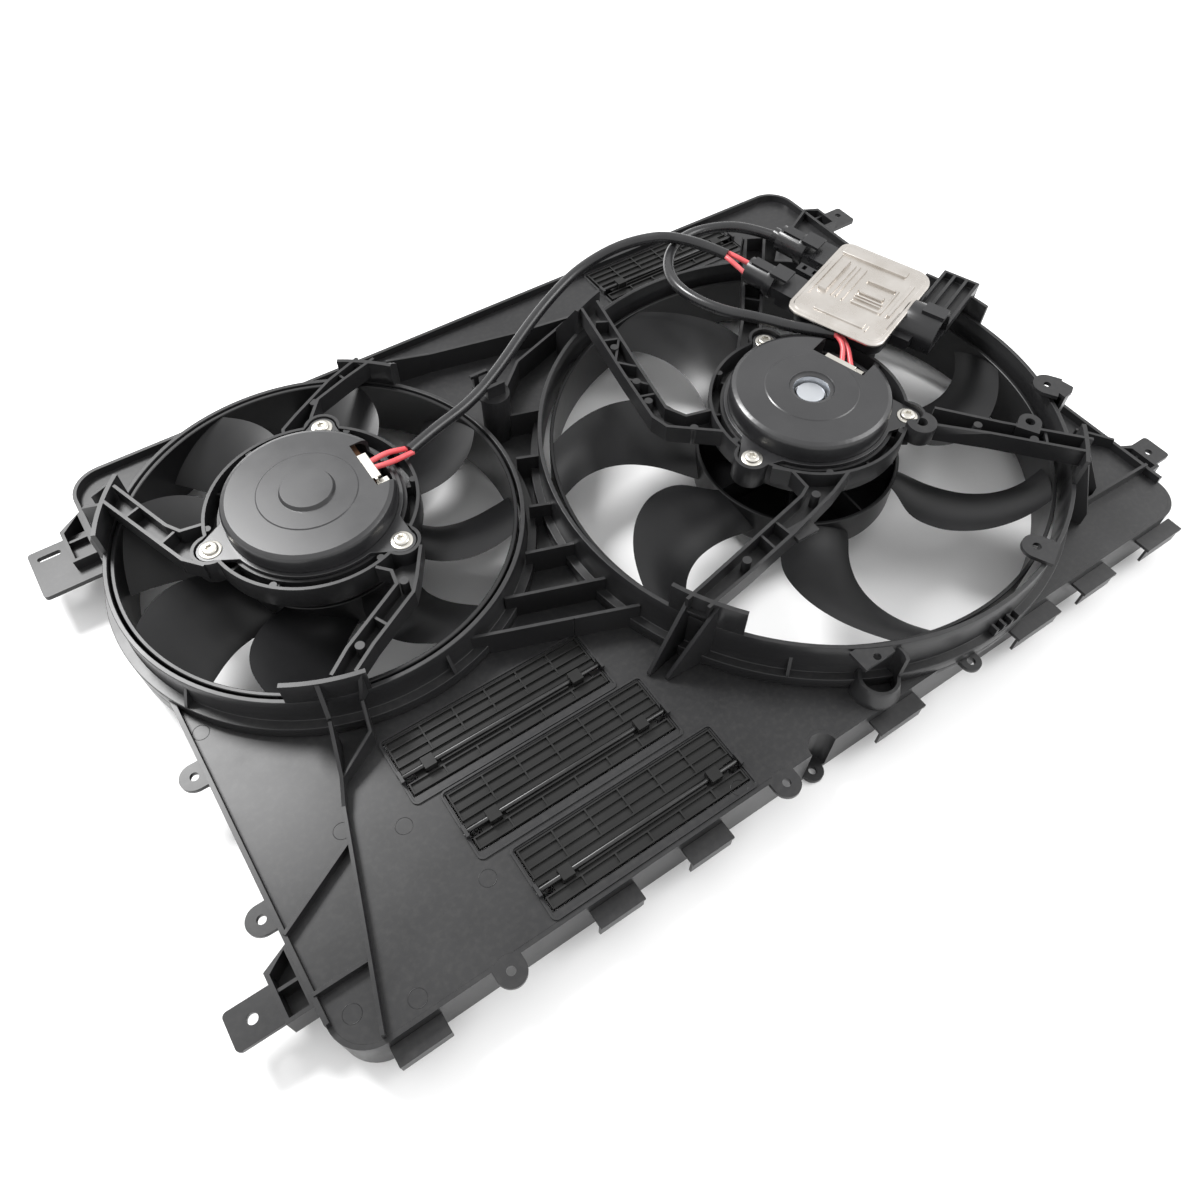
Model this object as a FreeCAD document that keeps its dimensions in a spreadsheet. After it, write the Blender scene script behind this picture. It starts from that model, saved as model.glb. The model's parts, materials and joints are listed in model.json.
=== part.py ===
import FreeCAD, Part
import Sketcher
import math
import os
from FreeCAD import Placement, Rotation, Vector

# Twin engine-cooling fan assembly, lying on its radiator side with the motors up.
# Plan positions are measured from the near left corner of the shroud plate, X along the
# long side and Y along the short side. Z is measured up from the plate's motor-side face.

doc = FreeCAD.newDocument("CoolingFanAssembly")
UP = Vector(0, 0, 1)


# Driving dimensions in millimetres

DIMENSIONS = {
    "panel_length": 680, "panel_width": 471, "panel_corner": 24, "plate_thick": 2.8,
    "skirt_depth": 38, "rim_height": 6, "wall": 2.8, "rib": 2.2,
    "small_x": 134.7, "small_y": 311, "small_duct": 140, "small_foot": 147, "small_lip": 31,
    "small_seat": 46, "small_deck": 50, "small_can_top": 62.7, "small_notch": 40,
    "small_notch_angle": 0, "small_screw_angle": 60,
    "large_x": 465.9, "large_y": 195, "large_duct": 193.5, "large_foot": 200, "large_lip": 37.5,
    "large_seat": 54, "large_deck": 60, "large_can_top": 72.8, "large_notch": 34.2,
    "large_notch_angle": 15.8, "large_screw_angle": 76,
    "duct_wall": 3, "foot_height": 10,
    "small_tip": 132.3, "small_ring_top": 30.8, "small_ring_bottom": -13, "small_hub": 62,
    "small_hub_top": 16, "large_tip": 182.4, "large_ring_top": 24.5, "large_ring_bottom": -16,
    "large_hub": 76, "large_hub_top": 14, "ring_wall": 2.8,
    "can_radius": 57, "can_wall": 1.8, "can_depth": 13, "screw_circle": 70,
    "carrier_radius": 71, "carrier_height": 19, "carrier_floor": 2.5, "boss_radius": 8,
    "boss_cove": 12.5, "ear_radius": 9.4, "motor_gap": 0.8, "flange_thick": 3,
    "shaft_radius": 4, "shaft_play": 0.08, "screw_hole": 2.3,
    "door_length": 140, "door_above": 27, "door_below": 13, "door_gap": 0.9,
    "rod_radius": 1.6, "rod_play": 0.1, "rod_height": 2.6,
    "cable_radius": 4.2, "lead_radius": 1.9,
    "lid_length": 97, "lid_width": 75.5, "module_x": 561.6, "module_y": 249,
    "module_angle": 20.3, "module_base": 61, "module_top": 79,
    "foot_level": -8, "foot_thick": 3.5, "bracket_depth": 20,
    "small_ledge": 18, "large_ledge": 5.6, "plug_tilt": 6,
}

sheet = doc.addObject("Spreadsheet::Sheet", "dims")
for row, (alias, value) in enumerate(DIMENSIONS.items(), start=1):
    sheet.set(f"A{row}", alias)
    sheet.set(f"B{row}", str(value))
    sheet.setAlias(f"B{row}", alias)
doc.recompute()


class Size:
    """A length read from the sheet that keeps the expression it came from."""

    def __init__(self, text, value):
        self.text = text
        self.value = value

    def __add__(self, other):
        other = size_of(other)
        return Size(f"({self.text} + {other.text})", self.value + other.value)

    def __sub__(self, other):
        other = size_of(other)
        return Size(f"({self.text} - {other.text})", self.value - other.value)

    def __mul__(self, factor):
        return Size(f"({self.text} * {factor})", self.value * factor)

    def __float__(self):
        return float(self.value)


def size_of(thing):
    return thing if isinstance(thing, Size) else Size(f"({thing})", float(thing))


def dim(alias):
    return Size(f"dims.{alias}", float(sheet.get(alias)))


def num(alias):
    return float(sheet.get(alias))


# Shared makers: nodes, primitives bound to the sheet, sketches and plain solids

nodes = {}


def add_node(label, thing):
    """Registers a finished piece; a bare shape becomes a Part::Feature."""
    if isinstance(thing, Part.Shape):
        feature = doc.addObject("Part::Feature", label)
        feature.Shape = thing
        thing = feature
    thing.Label = label
    nodes[label] = thing
    return thing


def bind(thing, **sizes):
    for prop, size in sizes.items():
        thing.setExpression(prop.replace("_", "."), size_of(size).text)
    return thing


def place(thing, x, y, z, angle=0):
    thing.Placement = Placement(Vector(float(x), float(y), float(z)), Rotation(UP, float(angle)))
    return thing


def origin_plane(body, role):
    return next(f for f in body.Origin.OriginFeatures if f.Role == role)


def new_sketch(body, role, name):
    sketch = body.newObject("Sketcher::SketchObject", name)
    sketch.AttachmentSupport = (origin_plane(body, role), [""])
    sketch.MapMode = "FlatFace"
    return sketch


def draw_polygon(sketch, corners):
    """A closed outline whose corners are held by distances bound to the sheet."""
    count = len(corners)
    points = [Vector(float(x), float(y), 0) for x, y in corners]
    for i in range(count):
        sketch.addGeometry(Part.LineSegment(points[i], points[(i + 1) % count]), False)
    for i in range(count):
        sketch.addConstraint(Sketcher.Constraint("Coincident", i, 2, (i + 1) % count, 1))
    for i, corner in enumerate(corners):
        for kind, size in (("DistanceX", corner[0]), ("DistanceY", corner[1])):
            size = size_of(size)
            index = sketch.addConstraint(Sketcher.Constraint(kind, -1, 1, i, 1, size.value))
            sketch.setExpression(f"Constraints[{index}]", size.text)


def revolved_body(label, corners):
    """A PartDesign body turned about Z from an outline of (radius, height) corners."""
    body = doc.addObject("PartDesign::Body", label)
    sketch = new_sketch(body, "XZ_Plane", label + "_profile")
    draw_polygon(sketch, corners)
    turn = body.newObject("PartDesign::Revolution", label + "_turned")
    turn.Profile = sketch
    turn.ReferenceAxis = (sketch, ["V_Axis"])
    turn.Angle = 360
    doc.recompute()
    return body


def padded_body(label, corners, height):
    """A PartDesign body raised from an outline in the XY plane."""
    body = doc.addObject("PartDesign::Body", label)
    sketch = new_sketch(body, "XY_Plane", label + "_outline")
    draw_polygon(sketch, corners)
    pad = body.newObject("PartDesign::Pad", label + "_pad")
    pad.Profile = sketch
    bind(pad, Length=height)
    doc.recompute()
    return body


def box(x0, x1, y0, y1, z0, z1):
    return Part.makeBox(x1 - x0, y1 - y0, z1 - z0, Vector(x0, y0, z0))


def cylinder(x, y, z0, z1, radius):
    return Part.makeCylinder(radius, z1 - z0, Vector(x, y, z0), UP)


def tube(x, y, z0, z1, outer, inner):
    return cylinder(x, y, z0, z1, outer).cut(cylinder(x, y, z0 - 1, z1 + 1, inner))


def prism(points, z0, z1):
    """A plan outline raised from z0 to z1."""
    corners = [Vector(x, y, z0) for x, y in points]
    face = Part.Face(Part.makePolygon(corners + corners[:1]))
    return face.extrude(Vector(0, 0, z1 - z0))


def polar(cx, cy, radius, angle):
    a = math.radians(angle)
    return cx + radius * math.cos(a), cy + radius * math.sin(a)


def fused(shapes):
    """One refined solid out of pieces that are moulded together."""
    whole = shapes[0].multiFuse(shapes[1:]) if len(shapes) > 1 else shapes[0]
    return whole.removeSplitter()


def wall_run(points, thickness):
    """An upright wall along a plan path; each point holds x, y, its foot and its top."""
    flat = [Vector(x, y, 0) for x, y, foot, top in points]
    legs = [(b - a).normalize() for a, b in zip(flat, flat[1:])]
    sections = []
    for i, (x, y, foot, top) in enumerate(points):
        before = legs[max(i - 1, 0)]
        after = legs[min(i, len(legs) - 1)]
        along = (before + after).normalize()
        side = Vector(-along.y, along.x, 0)
        reach = thickness / 2 / max(0.5, side.dot(Vector(-after.y, after.x, 0)))
        low = Vector(x, y, foot)
        high = Vector(x, y, top)
        sections.append([low - side * reach, low + side * reach, high + side * reach, high - side * reach])
    walls = []
    for near, far in zip(sections, sections[1:]):
        ends = [Part.makePolygon(corners + corners[:1]) for corners in (near, far)]
        walls.append(Part.makeLoft(ends, True, True))
    return walls[0].multiFuse(walls[1:]) if len(walls) > 1 else walls[0]


def arc_wall(cx, cy, inner, outer, start, sweep, z0, z1):
    """A stretch of round wall, from the start angle through the sweep."""
    face = Part.Face(Part.makePolygon([
        Vector(cx + inner, cy, z0), Vector(cx + outer, cy, z0), Vector(cx + outer, cy, z1),
        Vector(cx + inner, cy, z1), Vector(cx + inner, cy, z0)]))
    solid = face.revolve(Vector(cx, cy, 0), UP, sweep)
    solid.rotate(Vector(cx, cy, 0), UP, start)
    return solid


def drilled_ear(x, y, radius, hole, z0, z1, root):
    """A round ear on a straight root that runs into the edge it grows from."""
    rx, ry = root
    direction = Vector(rx - x, ry - y, 0)
    length = direction.Length
    direction.normalize()
    side = Vector(-direction.y, direction.x, 0) * radius
    a = Vector(x, y, 0)
    b = a + direction * length
    web = prism([(p.x, p.y) for p in (a - side, b - side, b + side, a + side)], z0, z1)
    ear = cylinder(x, y, z0, z1, radius).fuse(web)
    return ear.cut(cylinder(x, y, z0 - 1, z1 + 1, hole))


def tangent_path(points, name, report=True):
    """Straight runs joined by the largest tangent arcs that both runs leave room for."""
    corners = [Vector(*p) for p in points]
    edges = []
    start = corners[0]
    radii = []
    for before, corner, after in zip(corners, corners[1:], corners[2:]):
        back = (before - corner).normalize()
        on = (after - corner).normalize()
        half_turn = (math.pi - back.getAngle(on)) / 2
        reach = 0.45 * min((before - corner).Length, (after - corner).Length)
        radius = reach / math.tan(half_turn)
        radii.append(radius)
        first = corner + back * reach
        last = corner + on * reach
        middle = corner + (back + on).normalize() * (radius / math.cos(half_turn) - radius)
        edges.append(Part.LineSegment(start, first).toShape())
        edges.append(Part.Arc(first, middle, last).toShape())
        start = last
    edges.append(Part.LineSegment(start, corners[-1]).toShape())
    if report:
        print(name, "arc radii", [round(r, 1) for r in radii])
    return Part.Wire(edges)


def cord_solid(points, radius, name, report=True):
    """A round cord along its path, its volume compared with section times length."""
    path = tangent_path(points, name, report)
    start = Vector(*points[0])
    way = (Vector(*points[1]) - start).normalize()
    ring = Part.Wire([Part.makeCircle(radius, start, way)])
    solid = path.makePipeShell([ring], True, False)
    expected = math.pi * radius * radius * path.Length
    assert abs(solid.Volume / expected - 1) < 0.02, name + " is not a clean sweep"
    if report:
        print(name, "length", round(path.Length, 1))
    return solid


# Shroud tray: plate with air-door windows, and the wall round it with its edge ears

L = num("panel_length")
W = num("panel_width")
T = num("plate_thick")
SMALL = (num("small_x"), num("small_y"))
LARGE = (num("large_x"), num("large_y"))
SKIRT = -num("skirt_depth")
RIB = num("rib")


def tray_outline(inset, z0, z1):
    """The plate's rounded rectangle."""
    r = num("panel_corner") - inset
    plate = box(inset, L - inset, inset + r, W - inset - r, z0, z1)
    plate = plate.fuse(box(inset + r, L - inset - r, inset, W - inset, z0, z1))
    for x in (inset + r, L - inset - r):
        for y in (inset + r, W - inset - r):
            plate = plate.fuse(cylinder(x, y, z0, z1, r))
    return plate.removeSplitter()


def duct_ledge(prefix, centre):
    """The shallow bulge that carries a duct's foot where it stands over the plate's edge."""
    wall = num("wall")
    disc = cylinder(*centre, -num(prefix + "_ledge"), 0, num(prefix + "_foot"))
    return disc.cut(box(wall, L - wall, wall, W - wall, SKIRT, 1))


# Hinge line of each ram-air door: its left end and height up the plate
DOORS = [(98, 125.5), (113.5, 75), (130, 22.5), (457, 438)]
DOOR_LENGTH = num("door_length")
ABOVE = num("door_above")
BELOW = num("door_below")
GAP = num("door_gap")
FRAME = 3.4


def rounded_box(x0, x1, y0, y1, z0, z1, radius):
    solid = box(x0, x1, y0, y1, z0, z1)
    upright = [e for e in solid.Edges if abs(e.Vertexes[0].Z - e.Vertexes[1].Z) > 0.1]
    return solid.makeFillet(radius, upright)


def door_frame(x, y):
    """The raised surround of a door window with the two cheeks that hold its rod."""
    rod_z = num("rod_height")
    outer = rounded_box(x - FRAME, x + DOOR_LENGTH + FRAME, y - BELOW - 6.5, y + ABOVE + FRAME,
                        -0.2, 1.2, 4)
    inner = rounded_box(x - FRAME + 1.4, x + DOOR_LENGTH + FRAME - 1.4, y - BELOW - 5.1,
                        y + ABOVE + FRAME - 1.4, -1, 2, 2.6)
    parts = [outer.cut(inner)]
    for side in (x - GAP - 2.2, x + DOOR_LENGTH + GAP):
        parts.append(box(side, side + 2.2, y - 4, y + 4, -0.2, rod_z + 2.6))
    return parts


def door_window(x, y):
    return box(x - GAP, x + DOOR_LENGTH + GAP, y - BELOW - GAP, y + ABOVE + GAP, -T - 1, 3)


def tray_skirt():
    """The wall round the plate: a deep skirt below, a low rim above on three sides."""
    wall = num("wall")
    rim = num("rim_height")
    skirt = tray_outline(0, SKIRT, rim).cut(tray_outline(wall, SKIRT - 1, rim + 1))
    return skirt.cut(box(-30, L + 30, -30, num("panel_corner"), 0, 20))


# The deep round pocket in the near skirt, with an eye at its bottom
POCKET = (322.5, 0.4)
# The smaller ear that stands just clear of the large duct's foot
DUCT_EAR = (445, -7.2)


def skirt_pocket():
    shell = cylinder(*POCKET, SKIRT, 0, 12)
    floor = cylinder(*POCKET, SKIRT, SKIRT + 3.4, 7.4)
    return shell.cut(box(300, 345, -20, 0, SKIRT, 1)).fuse(floor)


def open_for_ducts(solid):
    """Cuts the two round openings under the ducts, and the ducts' seats."""
    for prefix, centre in (("small", SMALL), ("large", LARGE)):
        foot = num(prefix + "_foot")
        inner = foot - num("duct_wall")
        ledge = num("wall") - num(prefix + "_ledge")
        bore = cylinder(*centre, ledge, 20, inner)
        solid = solid.cut(bore.fuse(cylinder(*centre, 0, 20, foot)))
        middle = tray_outline(num("wall"), SKIRT - 1, 1)
        solid = solid.cut(cylinder(*centre, SKIRT - 1, 1, inner).common(middle))
    return solid.removeSplitter()


def make_skirt():
    """The tray's wall with its edge ears, its pocket and the ledges under the ducts."""
    ears = [skirt_pocket()]
    for y in (95, 197):
        ears.append(drilled_ear(-6, y, 9.2, 2.8, -3.4, 0, (2, y)))
    for x in (94, 288):
        ears.append(drilled_ear(x, -5, 9.2, 2.8, -3.4, 0, (x, 2)))
    ears.append(drilled_ear(*DUCT_EAR, 7, 2.8, -3.4, 0, (DUCT_EAR[0], 2)))
    ledges = [duct_ledge("small", SMALL), duct_ledge("large", LARGE)]
    solid = fused([tray_skirt()] + ears + ledges)
    solid = solid.cut(cylinder(*POCKET, SKIRT + 3.4, 10, 9.6))
    solid = solid.cut(cylinder(*POCKET, SKIRT - 1, 0, 2.8)).cut(cylinder(*DUCT_EAR, -9, 1, 2.8))
    return open_for_ducts(solid)


def make_panel():
    """The plate inside the wall, with a raised surround at each door window."""
    frames = [piece for door in DOORS for piece in door_frame(*door)]
    solid = fused([tray_outline(num("wall"), -T, 0)] + frames).cut(make_skirt())
    solid = open_for_ducts(solid.cut(cylinder(*POCKET, SKIRT, 10, 9.6)))
    rod = num("rod_radius")
    for x, y in DOORS:
        solid = solid.cut(door_window(x, y))
        bore = Part.makeCylinder(rod, DOOR_LENGTH + 8, Vector(x - 4, y, num("rod_height")),
                                 Vector(1, 0, 0))
        solid = solid.cut(bore)
    return solid.removeSplitter()


add_node("shroud_panel", make_panel())
add_node("shroud_skirt", make_skirt())


# Fan ducts: a stepped foot, then the upright lip


def duct_profile(prefix):
    wall = dim("duct_wall")
    foot = dim(prefix + "_foot")
    duct = dim(prefix + "_duct")
    lip = dim(prefix + "_lip")
    step = dim("foot_height")
    zero = size_of(0)
    return [(foot, zero), (foot, step), (duct + 0.6, step), (duct, lip), (duct - wall, lip),
            (duct - wall, step - wall), (foot - wall, step - wall), (foot - wall, zero)]


for prefix, centre in (("small", SMALL), ("large", LARGE)):
    duct = revolved_body(prefix + "_fan_duct", duct_profile(prefix))
    add_node(prefix + "_fan_duct", place(duct, *centre, 0))


def duct_core(prefix, centre):
    """The solid room taken by a duct and everything inside it, up to the lip."""
    step = num("foot_height")
    duct = num(prefix + "_duct")
    foot = cylinder(*centre, -1, step, num(prefix + "_foot"))
    cone = Part.makeCone(duct + 0.6, duct, num(prefix + "_lip") - step, Vector(*centre, step), UP)
    return foot.fuse(cone)


# The cable tower comes first, because the bridge ribs stop against it

# Centre line of each motor's cable, from the motor to its plug
SMALL_CABLE = [(209, 313.8, 53.2), (229.9, 323.2, 51.4), (268.8, 334.5, 50.2), (304.4, 353.6, 51.3),
               (338.4, 374.7, 54.7), (375.9, 393.8, 59.2), (412.1, 405.3, 65.4),
               (452.7, 400.6, 74.8), (486.5, 376.5, 82), (505.4, 340.8, 77)]
LARGE_CABLE = [(519.6, 231, 70.3), (499.9, 250.6, 70.6), (481.7, 272.8, 73.1), (461.7, 292.7, 74.7),
               (452, 321.1, 74), (454, 347.3, 73.5), (472.4, 373.2, 71.4), (497.4, 385.8, 71),
               (525.3, 382.6, 70.8), (548.5, 366.5, 71.4), (559.5, 339, 72.3)]
# Middle of the cable tower's post
TOWER = (292, 343)


def cable_tower():
    """The half-round post between the ducts whose two jaws hold the small motor's cable."""
    x, y = TOWER
    deck = 41.5
    channel = cord_solid(SMALL_CABLE[:6], num("cable_radius"), "channel", False)
    parts = [arc_wall(x, y, 9.6, 12, 190, 160, 0, deck),
             cylinder(x, y, deck - 2, deck, 12),
             box(x - 10, x + 3, y + 5, y + 14.5, deck - 2, deck),
             box(x - 7, x + 7.5, y - 5, y - 2, deck - 0.5, 52),
             box(x - 11, x + 3, y + 12, y + 14.5, 50, 52.5),
             box(x - 9, x - 5, y + 11.5, y + 14.5, deck - 0.5, 52),
             box(x - 6, x + 5, y - 2.5, y + 9, deck - 0.5, 48)]
    return fused(parts).cut(channel)


# Ribs of the tray: the long stiffener, its branches and the bridges between the ducts


def plate_ribs():
    top = 8
    runs = [
        [(23, 3, -0.5, top), (60, 126, -0.5, top), (67, 142, -0.5, 12), (76, 168, -0.5, 30)],
        [(67, 142, -0.5, 10), (94, 157, -0.5, 16), (98, 170, -0.5, 30)],
        [(53, 106, -0.5, 7), (1.5, 78, -0.5, 7)],
        [(33, 41, -0.5, 7), (1.5, 41, -0.5, 7)],
        [(612, 40, -0.5, 9), (678, 38, -0.5, 9)],
        [(628, 400, -0.5, 9), (678, 426, -0.5, 9)],
        [(662, 92, -0.5, 9), (678, 68, -0.5, 9)],
    ]
    solid = fused([wall_run(run, RIB) for run in runs])
    below = box(-50, L + 50, -50, W + 50, -5, 0)
    solid = solid.cut(duct_core("small", SMALL)).cut(below).cut(tray_skirt())
    for x, y in DOORS:
        solid = solid.cut(door_window(x, y))
    return solid.removeSplitter()


def bridge_ribs():
    """Upright webs that tie the two ducts together, each meeting both round walls."""
    ties = [((173, 178.8), (280.4, 138.5)), ((209.5, 192), (273.7, 169)),
            ((240.2, 216), (273.7, 204.5)), ((264.1, 249.6), (278.5, 243.8)),
            ((280.4, 293.7), (296.7, 287)), ((299, 334), (323.5, 326.3))]
    runs = [[(a[0], a[1], 0, 22), (b[0], b[1], 0, 22)] for a, b in ties]
    runs.append([(248, 437, 0, 24), (282.6, 432.4, 0, 18), (355, 416, 0, 18),
                 (398, 405, 0, 22), (424, 392, 0, 30)])
    runs.append([(300, 352, 0, 20), (336, 384, 0, 20), (398, 405, 0, 20)])
    for prefix, centre, angle in (("small", SMALL, 210), ("small", SMALL, 279), ("large", LARGE, 227.5)):
        near = polar(*centre, num(prefix + "_duct") - 1, angle)
        far = polar(*centre, num(prefix + "_foot") - 0.4, angle)
        runs.append([(*near, 8, 27), (*far, 8, 11)])
    solid = fused([wall_run(run, RIB) for run in runs]).cut(cable_tower())
    for centre, prefix in ((SMALL, "small"), (LARGE, "large")):
        solid = solid.cut(duct_core(prefix, centre))
    for x, y in DOORS:
        surround = box(x - FRAME, x + DOOR_LENGTH + FRAME, y - BELOW - 6.5, y + ABOVE + FRAME, -1, 1.2)
        swing = box(x - GAP, x + DOOR_LENGTH + GAP, y - BELOW, y + ABOVE + GAP, -1, 40)
        solid = solid.cut(surround).cut(swing)
    return solid


add_node("tray_ribs", plate_ribs())
add_node("duct_bridge_ribs", bridge_ribs())


# Motor carriers: a round channel with three bosses, hung on channel-section arms


def carrier(prefix, centre):
    """The round channel that the motor flange is screwed to."""
    cx, cy = centre
    deck = num(prefix + "_deck")
    seat = num(prefix + "_seat")
    base = deck - num("carrier_height")
    radius = num("carrier_radius")
    cove = num("boss_cove")
    boss = num("boss_radius")
    angles = [num(prefix + "_screw_angle") + 120 * i for i in range(3)]
    bosses = [polar(cx, cy, num("screw_circle"), a) for a in angles]
    shell = cylinder(cx, cy, base, deck, radius)
    hollow = cylinder(cx, cy, base + num("carrier_floor"), deck + 1, radius - RIB)
    for x, y in bosses:
        shell = shell.fuse(cylinder(x, y, base, deck, cove))
        hollow = hollow.fuse(cylinder(x, y, base + num("carrier_floor"), deck + 1, cove - RIB))
    parts = [shell.cut(hollow)]
    collar = num("can_radius") + 3
    parts.append(tube(cx, cy, base, seat, collar + RIB, collar))
    parts += [cylinder(x, y, base, seat, boss) for x, y in bosses]
    for i in range(12):
        angle = angles[0] + 15 + 30 * i
        a = polar(cx, cy, collar + 1, angle)
        b = polar(cx, cy, radius - 1, angle)
        parts.append(wall_run([(*a, base, seat - 3), (*b, base, seat - 3)], 1.8))
        if i % 2:
            parts.append(cylinder(*polar(cx, cy, radius - 3.2, angle), base, deck - 0.6, 2.4))
    return fused(parts)


def flange_outline(prefix, centre, grow, z0, z1):
    """The motor flange's plan: a ring with three ears at the screws."""
    cx, cy = centre
    parts = [cylinder(cx, cy, z0, z1, num("can_radius") + 3 + grow)]
    for i in range(3):
        angle = num(prefix + "_screw_angle") + 120 * i
        x, y = polar(cx, cy, num("screw_circle"), angle)
        root = [polar(cx, cy, num("can_radius"), angle + turn) for turn in (-20, 20)]
        ear = [polar(x, y, num("ear_radius") + grow, angle + turn) for turn in (80, -80)]
        parts.append(cylinder(x, y, z0, z1, num("ear_radius") + grow))
        parts.append(prism(root + ear, z0, z1))
    return fused(parts)


def seated(solid, prefix, centre):
    """Cuts the motor's opening, the room over its flange and the screw holes."""
    cx, cy = centre
    seat = num(prefix + "_seat")
    deck = num(prefix + "_deck")
    base = deck - num("carrier_height")
    solid = solid.cut(cylinder(cx, cy, base - 1, deck + 1, num("can_radius") + num("motor_gap")))
    solid = solid.cut(flange_outline(prefix, centre, num("motor_gap"), seat, deck + 5))
    for i in range(3):
        x, y = polar(cx, cy, num("screw_circle"), num(prefix + "_screw_angle") + 120 * i)
        solid = solid.cut(cylinder(x, y, base - 1, deck, num("screw_hole")))
    return solid.removeSplitter()


def arm(left, right, deck, depth, pins=(), ties=()):
    """A channel arm: two rails, the web between them, cross ties and round pins."""
    foot = deck - depth
    rails = [wall_run([(x, y, foot, deck) for x, y in side], RIB) for side in (left, right)]
    web = prism(list(left) + list(reversed(right)), foot, foot + 2)
    parts = rails + [web]
    for a, b in ties:
        parts.append(wall_run([(*a, foot, deck - 1.5), (*b, foot, deck - 1.5)], 1.8))
    for x, y in pins:
        parts.append(cylinder(x, y, foot, deck - 0.5, 3))
    return parts


def small_carrier():
    cx, cy = SMALL
    deck = num("small_deck")
    lip = num("small_lip")
    duct = num("small_duct")
    keep_out = cylinder(cx, cy, 0, 100, num("carrier_radius") - 1)
    arms = arm([(21, 388), (47, 313), (57, 301)], [(31, 398), (48, 346), (54, 336), (70, 333)],
               deck, 14, ties=[((28, 368), (39, 372)), ((40, 334), (51, 339))])
    arms += arm([(142, 372), (146, 384), (160, 393), (194, 412.5), (222, 423)],
                [(158, 371), (168, 385), (179, 398.6), (204, 407.6), (232, 416)],
                deck, 14, pins=[(175.5, 398)], ties=[((203, 416), (205, 408)), ((219, 422), (223, 413))])
    arms += arm([(146, 240), (153, 232), (151, 221), (105, 195.5), (89, 183.5)],
                [(178, 240), (164, 219), (157, 210), (119.5, 189.4), (102, 178)],
                deck, 14, pins=[(156, 221), (112, 193)], ties=[((128, 208), (133, 197))])
    arms = fused(arms).cut(keep_out)
    blocks = [arc_wall(cx, cy, duct - 3, duct, 237.5, 21, lip, deck),
              arc_wall(cx, cy, duct - 3, duct, 136, 22, lip, deck),
              arc_wall(cx, cy, duct - 3, duct, 41, 17, lip, deck)]
    fins = [[(*polar(cx, cy, duct - 1, 246.5), 28, deck), (76.5, 170, 28, 29.5)],
            [(*polar(cx, cy, duct - 1, 257), 28, deck), (98, 171, 28, 29.5)],
            [(*polar(cx, cy, duct - 1, 139), 12, deck), (15, 410, 12, 38)],
            [(*polar(cx, cy, duct - 1, 147), 12, deck), (7, 401, 12, 40)],
            [(*polar(cx, cy, duct - 1, 154), 12, deck), (2, 380, 12, 30)],
            [(*polar(cx, cy, duct - 1, 43), 12, deck), (249, 420, 12, 34)],
            [(*polar(cx, cy, duct - 1, 55), 12, deck), (222, 438, 12, 34)]]
    fins = [wall_run(run, 2.6) for run in fins]
    shell = fused([arms] + blocks + fins)
    inside = duct_core("small", SMALL).fuse(cylinder(cx, cy, 0, lip + 4, duct - 3.5))
    return seated(fused([carrier("small", SMALL), shell.cut(inside)]), "small", SMALL)


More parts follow.
